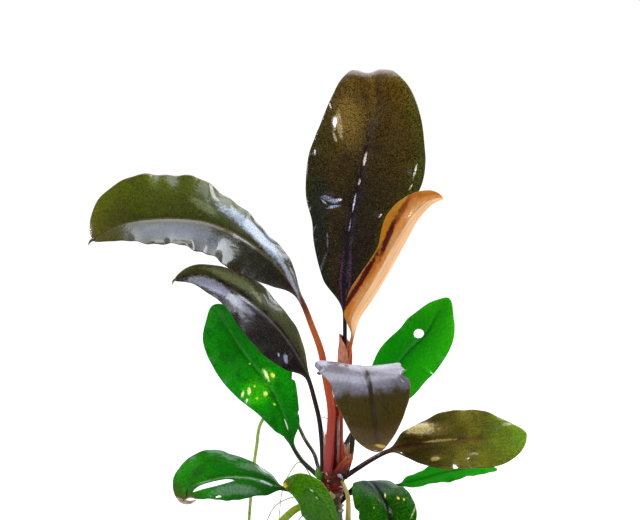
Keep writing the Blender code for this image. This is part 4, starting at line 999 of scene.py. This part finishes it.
def skin_finish(name, stops, effects, roughness=0.35, knobs=0.5, glow=None, along_line=False, fibres=0.0):
    """Stem and root skin: colours by height or along the root, clouded, with fine knobs.

    glow is the colour and the share of the light that comes through.
    """
    finish, tree = new_finish(name)
    place = vector_calc("SCALE", wire(tree, "ShaderNodeTexCoord", None, "Object"), 1 / MM)
    clouds = wire(tree, "ShaderNodeGroup", {"Place": place, "Size": 1.3}, node_tree=effects["mottle"])
    x, y, z = split(place)
    level = kept_value(tree, "along", "Fac") if along_line else z
    drift = (stops[-1][0] - stops[0][0]) * CLOUDS_ON_SKIN
    colour = colour_ramp((clouds - 0.5) * drift + level, stops)
    colour = multiplied(clouds * SKIN_CLOUDS, colour, SKIN_SHADE)
    if fibres:
        threads = wire(tree, "ShaderNodeGroup", {"Place": join(tree, x + y, z), "Size": 0.22, "Length": 2.5},
                       node_tree=effects["streaks"])
        colour = blended(threads * fibres, colour, stops[0][1:])
    grain = noise(place, 2.2, 4.0)
    bump = wire(tree, "ShaderNodeBump", {"Height": grain, "Strength": knobs, "Distance": 0.12 * MM})
    surface = wire(tree, "ShaderNodeBsdfPrincipled", {
        "Base Color": colour, "Roughness": read_between(grain, 0.3, 0.7, roughness * 0.7, roughness * 1.4),
        "Normal": bump, "Coat Weight": 0.35, "Coat Roughness": 0.12, "IOR": 1.45})
    if glow:
        backlit = wire(tree, "ShaderNodeBsdfTranslucent", {"Color": blended(LIT_COLOUR, colour, glow[0])})
        surface = wire(tree, "ShaderNodeMixShader", {"Fac": glow[1], 1: surface, 2: backlit})
    add(tree, "ShaderNodeOutputMaterial", {"Surface": surface})
    return finish


# The creeping stem

STEM_COLUMNS = 96
SCAR_LEAN = 0.45  # how far a scar rises and falls round the stem
SCAR_WAVE = 0.15  # a smaller rise and fall, three times round
SCAR_RIDGE = 0.22  # spread of a scar's ridge
HOLLOW_DEPTH = 0.5  # depth of the hollow above a ridge, as a share of the ridge
HOLLOW_ABOVE = 0.5
HOLLOW_SPREAD = 0.3
STEM_KNOBS = 0.08
CUT_EDGE = 0.6  # height over which the cut edge is drawn in
CUT_SHARE = 0.03  # share of the radius by which it is drawn in
WALL_RIPPLE = 0.14
FINE_TEAR = 0.3  # strength of the finer teeth of a torn edge
STEM_ROW = 0.14
PATH_STEP = 0.8
SHEATH_THICKNESS = 0.14
SKIN_THICKNESS = 0.09
RADII_AT = (0, 0.35, 1)  # shares of a root's length at which its radii stand
ROUND_TIP = 0.03  # share of a root's length over which its tip closes
SCARS = ((3.1, 0.25), (5.4, 0.3), (7.8, 0.28), (9.9, 0.32), (12.3, 0.3), (14.2, 0.34), (16.4, 0.36), (18.4, 0.42),
         (20.1, 0.5), (21.6, 0.42), (23.1, 0.46), (24.7, 0.5), (26.2, 0.4))  # height and depth of each leaf scar


def stem_sheet():
    """The stem's skin: each leaf scar is a narrow step that leans its own way round the stem."""
    samples, lengths = trace(STEM_LINE)
    at = np.linspace(0, lengths[-1], int(lengths[-1] / STEM_ROW))
    points, _ = read_line(samples, lengths, at)
    knots = [lengths[SAMPLES_PER_SPAN * k] for k in range(len(STEM_LINE))]
    around = np.linspace(0, 2 * math.pi, STEM_COLUMNS, endpoint=False)[None, :]
    radius = smooth(knots, STEM_RADII, at)[:, None] * np.ones_like(around)
    for n, (height, depth) in enumerate(SCARS):
        middle = height + SCAR_LEAN * np.sin(around + 2.4 * n) + SCAR_WAVE * np.sin(3 * around + n)
        gap = at[:, None] - middle
        hollow = HOLLOW_DEPTH * depth * bell(gap - HOLLOW_ABOVE, HOLLOW_SPREAD)
        radius = radius + depth * bell(gap, SCAR_RIDGE) - hollow
    knob = np.sin(5 * around + 0.9 * at[:, None]) * np.sin(3 * around - 1.7 * at[:, None])
    radius = radius + STEM_KNOBS * knob
    above_cut = np.clip(at / CUT_EDGE, 0, 1)[:, None]
    radius = radius * (1 - CUT_SHARE + CUT_SHARE * above_cut)
    rings = np.stack([points[:, :1] + radius * np.cos(around), points[:, 1:2] + radius * np.sin(around),
                      np.repeat(points[:, 2:], STEM_COLUMNS, axis=1)], axis=2)
    return ring_mesh("rhizome_skin", rings)


def pod(name, line, radii, flat=1.0, ridges=0.0, columns=28, rows=36):
    """A round body along a short line, such as a bud: pointed where its radius ends small."""
    samples, lengths = trace(line)
    at = np.linspace(0, lengths[-1], rows)
    points, along = read_line(samples, lengths, at)
    side = unit(np.cross(along, [0.3, 1, 0.2]))
    other = np.cross(along, side)
    radius = smooth(np.linspace(0, 1, len(radii)), radii, at / lengths[-1])
    around = np.linspace(0, 2 * math.pi, columns, endpoint=False)
    reach = radius[:, None] * (1 + ridges * np.sin(4 * around + 5 * at[:, None]))
    rings = (points[:, None, :] + (reach * np.cos(around))[:, :, None] * side[:, None, :]
             + (reach * flat * np.sin(around))[:, :, None] * other[:, None, :])
    return ring_mesh(name, rings)


def wall(name, line, radius_at, span_at, columns, rows, tear=0.5):
    """A thin sheath round a line: its radius and its span in degrees change with the share of its height."""
    samples, lengths = trace(line)
    up = np.linspace(0, 1, rows)
    centres, _ = read_line(samples, lengths, up * lengths[-1])
    points = []
    for share, centre in zip(up, centres):
        first, last = span_at(share)
        turns = np.radians(np.linspace(first, last, columns))
        ripple = np.linspace(0, 1, columns)
        reach = radius_at(share) + WALL_RIPPLE * np.sin(9 * ripple + 4 * share) * share
        teeth = np.sin(23 * ripple) * np.sin(7 * ripple + 2) + FINE_TEAR * np.sin(71 * ripple)
        torn = tear * share**2 * teeth
        x, y, z = centre
        points.append(np.stack([x + reach * np.cos(turns), y + reach * np.sin(turns), z + torn], axis=1))
    return thin_wall(name, np.array(points), SHEATH_THICKNESS)


def thin_wall(name, grid, thickness):
    """A grid of points as a sheet with a thickness."""
    rows, columns = grid.shape[:2]
    index = np.arange(rows * columns).reshape(rows, columns)
    quads = np.stack([index[:-1, :-1], index[:-1, 1:], index[1:, 1:], index[1:, :-1]], axis=2).reshape(-1, 4)
    data = bpy.data.meshes.new(name)
    data.from_pydata(grid.reshape(-1, 3) * MM, [], [tuple(q) for q in quads])
    data.shade_smooth()
    obj = new_object(name, data)
    solid = obj.modifiers.new("wall", "SOLIDIFY")
    solid.thickness = thickness * MM
    solid.offset = 0
    return obj


def path_curve(name, route, radii):
    """A path with its radius at each point, as a curve that a root grows along."""
    samples, lengths = trace(route)
    at = np.linspace(0, lengths[-1], int(lengths[-1] / PATH_STEP) + 2)
    points, _ = read_line(samples, lengths, at)
    share = at / lengths[-1]
    thick = smooth(RADII_AT, radii, share)
    thick = thick * np.sqrt(np.clip((1.0 - share) / ROUND_TIP, 0.02, 1))
    points[:, 2] = np.maximum(points[:, 2], thick)
    curve = bpy.data.curves.new(name, "CURVE")
    curve.dimensions = "3D"
    line = curve.splines.new("POLY")
    line.points.add(len(points) - 1)
    for spot, point, radius in zip(line.points, points, thick):
        spot.co = (*(Vector(point) * MM), 1)
        spot.radius = radius * MM
    return new_object(name, curve)


def finished(obj, material, slot, *nodes):
    """Gives a piece its finish and its place in the part."""
    obj.data.materials.clear()
    obj.data.materials.append(material)
    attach(obj, "root")
    if nodes:
        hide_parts(*nodes)


def build_leaves(effects):
    relief = leaf_relief_tree()
    for n, item in enumerate(LEAVES):
        name = item["name"]
        finish = leaf_finish(name, LOOKS[name], effects)
        sizes = {"Seed": 3.0 * n, "Rib Groove": LOOKS[name]["rib_groove"], "Material": finish}
        finished(grow(leaf_sheet(item), relief, name + "_skin", sizes), finish, item["slot"], name)


ROOTED = 0.35  # share of its distance from the stem's axis at which a root starts inside the stem
STEM_AXIS_Y = -0.4
ROOT_SLOTS = {"root_front_yellow": "root_yellow", "root_left_green": "root_yellow_green",
              "root_aerial_green": "root_pale_green"}  # the other roots are tan
ROOT_STOPS = {  # by millimetres along the root
    "root_yellow": ((0, 176, 150, 70), (4, 236, 206, 104), (12, 246, 224, 140), (45, 240, 220, 150)),
    "root_yellow_green": ((0, 70, 90, 30), (8, 170, 200, 50), (25, 196, 220, 70), (45, 220, 226, 120)),
    "root_pale_green": ((0, 44, 16, 12), (11, 44, 22, 14), (14, 60, 86, 26), (19, 176, 214, 80),
                        (45, 206, 232, 130)),
    "root_tan": ((0, 110, 90, 50), (20, 170, 150, 90), (45, 220, 206, 150)),
}


def build_roots(effects):
    tree = root_tree()
    for n, (name, (route, radii)) in enumerate(ROOTS.items()):
        slot = ROOT_SLOTS.get(name, "root_tan")
        finish = skin_finish(name, ROOT_STOPS[slot], effects, 0.3, 0.4, ((230, 230, 120), 0.25), along_line=True)
        x, y, z = route[0]
        inside_stem = (x * ROOTED, y * ROOTED + STEM_AXIS_Y, z)
        piece = grow(path_curve(name + "_path", (inside_stem, *route), radii), tree, name + "_skin",
                     {"Seed": 5.0 * n, "Material": finish})
        finished(piece, finish, slot, name)


FINE_ROOTS = (
    ((-2.6, 1.4, 15.0), (-6, 5, 15.5), (-9.5, 9, 12), (-12, 12, 6), (-14, 15, 0.4), (-18, 18, 0.3)),
    ((-2.4, 1.2, 17.0), (-8, 6, 19), (-15, 10, 16), (-18.5, 12, 8), (-20, 14, 0.4), (-24, 17, 0.3)),
    ((-2.2, 1.6, 19.0), (-6, 7, 24), (-9, 11, 27), (-12.5, 13, 22), (-14.5, 14, 10), (-15.5, 16, 0.4), (-17, 21, 0.3)),
    ((1.8, 1.6, 9.0), (5, 7, 9.5), (8, 13, 5), (9, 18, 0.4), (9, 22, 0.3)),
    ((-1.9, -1.2, 10.0), (-6, -4, 10), (-11, -7, 5), (-14, -10, 0.4), (-18, -15, 0.3)),
    ((1.2, -2.2, 7.0), (2, -6, 6.5), (1, -11, 3), (-1, -15, 0.4), (-3, -20, 0.3)),
)


def build_fine_roots(effects):
    """The hair-fine pale roots behind and under the stem, as one piece."""
    stops = ((0, 150, 170, 80), (20, 206, 226, 150), (45, 226, 236, 190))
    finish = skin_finish("fine_root", stops, effects, 0.35, 0.3, ((230, 250, 170), 0.4), along_line=True)
    tree = root_tree()
    whole = bmesh.new()
    for n, route in enumerate(FINE_ROOTS):
        hair = grow(path_curve("hair_path", route, (0.2, 0.15, 0.1)), tree, "hair",
                    {"Seed": 7.0 * n, "Knobs": 0.04, "Material": finish})
        whole.from_mesh(hair.data)
        bpy.data.objects.remove(hair)
    data = bpy.data.meshes.new("fine_roots")
    whole.to_mesh(data)
    whole.free()
    finished(new_object("fine_roots", data), finish, "root_pale_green")


def build_stem(effects):
    """The creeping stem, its pale eye bud and the green side bud."""
    stops = ((0, 84, 74, 44), (9, 78, 70, 38), (15, 84, 80, 44), (18.6, 104, 98, 60), (19.6, 110, 70, 60),
             (20.6, 150, 104, 84), (21.4, 96, 34, 30), (22.6, 140, 24, 14), (24.6, 96, 14, 12),
             (25.4, 140, 44, 24), (26.2, 110, 22, 16), (28, 100, 20, 14))
    bark = skin_finish("rhizome_bark", stops, effects, 0.32, 0.6)
    finished(stem_sheet(), bark, "rhizome_bark", "rhizome")
    cream = skin_finish("eye_bud", ((20, 246, 206, 110), (22, 255, 240, 190)), effects, 0.3, 0.3)
    finished(pod("eye_bud", ((-0.75, -2.2, 20.0), (-0.9, -3.0, 20.9), (-1.15, -3.35, 22.0)),
                 (0.5, 1.0, 0.85, 0.1), 0.8, 0.04), cream, "rhizome_bark")
    green = skin_finish("bud_green", ((24, 60, 110, 24), (26, 96, 180, 36), (29, 150, 220, 70)), effects, 0.3,
                        0.3, ((140, 220, 60), 0.2))
    finished(pod("bud_green_skin", ((-3.2, -1.6, 24.6), (-4.1, -2.1, 26.2), (-4.6, -2.3, 28.1)),
                 (0.5, 0.95, 0.7, 0.08), 0.8, 0.05), green, "bud", "bud_green")


def membrane(name, first, second, reach, bow):
    """A torn thin skin between two stalks, from their foot up; reach is how high it still stands."""
    one, one_length = trace(first)
    two, two_length = trace(second)
    rows, columns = 48, 16
    q = np.linspace(0, 1, columns)
    torn = reach * (0.86 + 0.14 * np.sin(7 * q + 3 * reach) * np.cos(17 * q))
    points = []
    for up in np.linspace(0, 1, rows):
        near, _ = read_line(one, one_length, up * torn * one_length[-1])
        far, _ = read_line(two, two_length, up * torn * two_length[-1])
        row = near * (1 - q)[:, None] + far * q[:, None]
        row[:, 1] += bow * np.sin(math.pi * q) + 0.12 * np.sin(11 * q + 9 * up)
        points.append(row)
    return thin_wall(name, np.array(points), SKIN_THICKNESS)


# Torn skins: name, skin, the foot-up lines of both sides, how much of them still stands, and how far it bows
SHEATH_REMAINS = (
    ("sheath_join", "red", ((-0.6, -2.6, 26.6), (-0.2, -2.6, 36), (-0.2, -2.3, 42), (-0.5, -1.9, 50)),
     ((1.3, -2.4, 26.6), (1.4, -1.9, 36), (1.5, -1.5, 43), (1.9, -1.3, 50)), 0.93, 0.5),
    ("sheath_remains_middle", "pale", ((0.4, -3.0, 27.6), (0.6, -2.9, 36), (0.7, -2.5, 42)),
     ((1.0, -3.0, 27.6), (1.15, -2.7, 36), (1.2, -2.2, 42)), 0.95, 0.1),
    ("sheath_remains_left", "pale", ((-2.9, -1.2, 26.2), (-2.9, -1.4, 34), (-3.1, -1.4, 40)),
     ((-2.2, -2.2, 26.6), (-2.1, -2.4, 34), (-2.0, -2.1, 40)), 0.85, -0.2),
    ("sheath_remains_right", "tan", ((1.9, -1.9, 26.6), (2.1, -1.5, 34), (2.2, -1.2, 40)),
     ((3.1, -0.3, 26.2), (3.9, -0.2, 32), (4.5, -0.8, 39)), 0.62, -0.4),
)
# Small things: name, slot, skin, line and radii
SMALL_KNOBS = (
    # The two lilac-white knobs are painted highlights: their pale lilac colour stands for light caught on the knobby
    # foot of the stalks.
    ("foot_knob_right", "old_sheath", "painted_lilac_highlight", ((0.5, -2.9, 26.7), (1.3, -3.2, 25.9), (2.0, -3.0, 25.0)),
     (0.15, 0.46, 0.38, 0.12)),
    ("foot_knob_left", "old_sheath", "painted_lilac_highlight", ((-2.2, -2.8, 26.9), (-1.9, -3.1, 26.0)), (0.1, 0.3, 0.24, 0.08)),
    ("foot_knob_low", "old_sheath", "cream", ((-1.9, -3.0, 24.9), (-1.4, -3.2, 24.3)), (0.1, 0.28, 0.24, 0.08)),
    ("olive_foot", "old_sheath", "olive", ((2.3, -1.8, 26.0), (2.8, -1.7, 28.6), (2.9, -1.5, 31.0)),
     (0.7, 0.75, 0.6, 0.15)),
    ("sheath_spike_rib", "young_sheath", "spike", ((0.8, -0.1, 51), (1.0, -0.1, 56), (1.3, 0.1, 61.2)),
     (0.2, 0.34, 0.05)),
    ("skin_bridge", "old_sheath", "pale", ((-3.5, -0.6, 40.2), (-2.7, -1.4, 40.45), (-1.9, -1.9, 40.2)),
     (0.12, 0.1, 0.12)),
    ("hook_upper_left", "leaf_olive_arching", "hook",
     ((-59.4, -6.0, 85.9), (-60.5, -6.1, 85.2), (-61.1, -6.2, 84.2)), (0.5, 0.32, 0.04)),
    ("dead_tip_rim", "leaf_green_old", "rim",
     ((-39.4, -9.0, 21.9), (-38.1, -9.4, 20.8), (-36.2, -9.4, 20.4), (-34.4, -8.8, 20.9)),
     (0.15, 0.5, 0.55, 0.4, 0.08)),
    ("hook_middle_left", "leaf_purple_brown", "hook",
     ((-39.1, -8.9, 76.1), (-39.9, -9.1, 75.6), (-40.1, -9.2, 74.7)), (0.4, 0.26, 0.04)),
)
# The skins of both: stops by height in millimetres, and what light comes through
SKINS = {
    "pale": (((26, 90, 16, 14), (28, 150, 56, 44), (31, 206, 140, 130), (35, 232, 214, 204), (40, 246, 242, 234)),
             ((250, 220, 200), 0.5)),
    "red": (((26, 84, 10, 10), (32, 112, 24, 30), (40, 150, 52, 50), (50, 196, 90, 60)), ((220, 90, 60), 0.2)),
    "tan": (((26, 90, 20, 12), (28, 170, 70, 34), (31, 226, 160, 120), (35, 246, 232, 214), (39, 246, 236, 220)),
            ((250, 190, 130), 0.4)),
    "rim": (((19.6, 120, 80, 56), (20.2, 246, 232, 210), (21.0, 232, 206, 176), (22, 90, 80, 40)),
            ((255, 240, 220), 0.4)),
    # Pale lilac-white: a painted highlight.
    "painted_lilac_highlight": (((24, 190, 170, 216), (27, 226, 216, 245)), None),
    "cream": (((23, 240, 190, 130), (26, 250, 224, 190)), None),
    "olive": (((26, 60, 44, 20), (29, 104, 88, 40), (31, 150, 130, 80)), None),
    "spike": (((50, 190, 50, 24), (56, 226, 100, 60), (61, 214, 74, 34)), None),
    "hook": (((74, 120, 140, 40), (77, 110, 60, 30), (84, 90, 20, 14), (86, 70, 30, 14)), None),
}


def build_sheaths(effects):
    """The young sheath, the old bract, and the torn skins and small knobs round them."""
    stops = ((46, 200, 50, 24), (52, 226, 110, 70), (56, 248, 196, 166), (59, 244, 190, 150), (61, 214, 84, 44))
    young = skin_finish("young_sheath", stops, effects, 0.25, 0.3, ((250, 200, 160), 0.35), fibres=0.5)
    spiked = wall("sheath_spiked_skin", ((1.95, -0.1, 44.4), (2.4, 0, 51), (2.8, 0.1, 56), (3.0, 0.15, 61)),
                  lambda up: 2.0 * (1 - 0.12 * up) * (0.4 + 0.6 * min(1.0, up / 0.5)**0.7),
                  lambda up: (180 - 150 * (1 - 0.93 * up**11), 180 + 112 * (1 - 0.87 * up**7)), 60, 56)
    finished(spiked, young, "young_sheath", "sheath_spiked")
    stops = ((27, 130, 22, 10), (28.4, 206, 64, 22), (30, 246, 130, 56), (32, 255, 196, 140))
    old = skin_finish("old_sheath", stops, effects, 0.3, 0.5, ((250, 140, 50), 0.3), fibres=0.6)
    bract = wall("bract_orange_skin", ((0.2, -0.6, 26.5), (0.9, -0.9, 30.6)),
                 lambda up: 2.9 + 1.5 * up**2,
                 lambda up: (-60 + 8 * up - 56 * (1 - 0.86 * up), -60 + 8 * up + 50 * (1 - 0.66 * up**2)),
                 90, 30, 1.1)
    finished(bract, old, "old_sheath", "bract_orange")
    skins = {kind: skin_finish("skin_" + kind, stops, effects, 0.28, 0.3, glow, fibres=0.5)
             for kind, (stops, glow) in SKINS.items()}
    for name, kind, *sides in SHEATH_REMAINS:
        finished(membrane(name, *sides), skins[kind], "old_sheath")
    for name, slot, kind, line, radii in SMALL_KNOBS:
        finished(pod(name, line, radii), skins[kind], slot)


# Floor, light and camera

LENS = 135.0
SENSOR = 36.0
AIM = Vector((-3.75, 0, 80)) * MM
CAMERA_DISTANCE = 600 * MM
CAMERA_TILT = math.radians(5)
FLOOR_RADIUS = 6
FLOOR_DROP = 0.0001
LAMPS = (  # name, place, aim and size in millimetres, power, colour
    ("soft_overhead", (40, 160, 560), (0, 0, 60), (420, 380), 1.8, (0.86, 0.9, 1.0)),
    ("soft_right", (400, 95, 430), (0, 0, 80), (300, 330), 3.6, (0.88, 0.93, 1.0)),
    ("soft_behind", (0, 440, 330), (0, 0, 70), (520, 340), 1.2, (0.9, 0.92, 1.0)),
    ("key_left", (-400, -440, 440), (0, 0, 70), (70, 70), 1.8, (1.0, 0.96, 0.88)),
)


def build_floor():
    finish, tree = new_finish("pale_floor")
    grain = noise(wire(tree, "ShaderNodeTexCoord", None, "Object"), 6.0)
    tone = wire(tree, "ShaderNodeMix", {0: grain * 0.1, 6: (0.3, 0.3, 0.3, 1), 7: (0.27, 0.27, 0.3, 1)}, 2,
                data_type="RGBA")
    seen = wire(tree, "ShaderNodeLightPath", None, "Is Camera Ray")
    shader = wire(tree, "ShaderNodeBsdfPrincipled", {
        "Base Color": tone, "Roughness": 0.8, "Specular IOR Level": 0.0, "Emission Color": (1, 1, 1, 1),
        "Emission Strength": seen * 0.7 + 0.26})
    add(tree, "ShaderNodeOutputMaterial", {"Surface": shader})
    bpy.ops.mesh.primitive_circle_add(vertices=96, radius=FLOOR_RADIUS, fill_type="NGON",
                                      location=(0, 0, -FLOOR_DROP))
    floor = bpy.context.object
    floor.name = "floor"
    floor.data.materials.append(finish)


def build_world():
    """A white studio to the camera; the plant is lit by a soft sky, brighter behind it and at the right."""
    world = bpy.data.worlds.new("studio")
    bpy.context.scene.world = world
    world.use_nodes = True
    tree = world.node_tree
    tree.nodes.clear()
    sideways, away, _ = split(wire(tree, "ShaderNodeTexCoord", None, "Generated"))
    level = ramp_between(away, -0.05, 0.5) * 0.6 + 0.1
    level = ramp_between(sideways, 0.3, 1.0) * 0.15 + level
    soft = wire(tree, "ShaderNodeBackground", {"Color": (0.86, 0.9, 1.0, 1), "Strength": level})
    white = wire(tree, "ShaderNodeBackground", {"Color": (1, 1, 1, 1), "Strength": 1.0})
    seen = wire(tree, "ShaderNodeLightPath", None, "Is Camera Ray")
    mixed = wire(tree, "ShaderNodeMixShader", {"Fac": seen, 1: soft, 2: white})
    add(tree, "ShaderNodeOutputWorld", {"Surface": mixed})


def build_lamps():
    for name, place, aim, size, power, colour in LAMPS:
        lamp = bpy.data.lights.new(name, "AREA")
        lamp.shape = "RECTANGLE"
        lamp.size, lamp.size_y = size[0] * MM, size[1] * MM
        lamp.energy = power
        lamp.color = colour
        obj = new_object(name, lamp)
        obj.visible_camera = False
        obj.location = Vector(place) * MM
        obj.rotation_euler = (Vector(aim) - Vector(place)).to_track_quat("-Z", "Y").to_euler()


def build_camera():
    data = bpy.data.cameras.new("camera")
    data.lens = LENS
    data.sensor_width = SENSOR
    data.clip_start = 0.01
    camera = new_object("camera", data)
    forward = Vector((0, math.cos(CAMERA_TILT), -math.sin(CAMERA_TILT)))
    camera.location = AIM - forward * CAMERA_DISTANCE
    camera.rotation_euler = forward.to_track_quat("-Z", "Y").to_euler()
    bpy.context.scene.camera = camera
    bpy.context.scene.view_settings.view_transform = "Standard"


def main():
    build_camera()
    build_floor()
    build_world()
    build_lamps()
    effects = {"veins": vein_effect(), "speckle": speckle_effect(), "grain": grain_effect(),
               "streaks": streak_effect(), "mottle": mottle_effect(), "spot": spot_effect(),
               "film": film_effect()}
    build_leaves(effects)
    build_stem(effects)
    build_sheaths(effects)
    build_roots(effects)
    build_fine_roots(effects)


main()
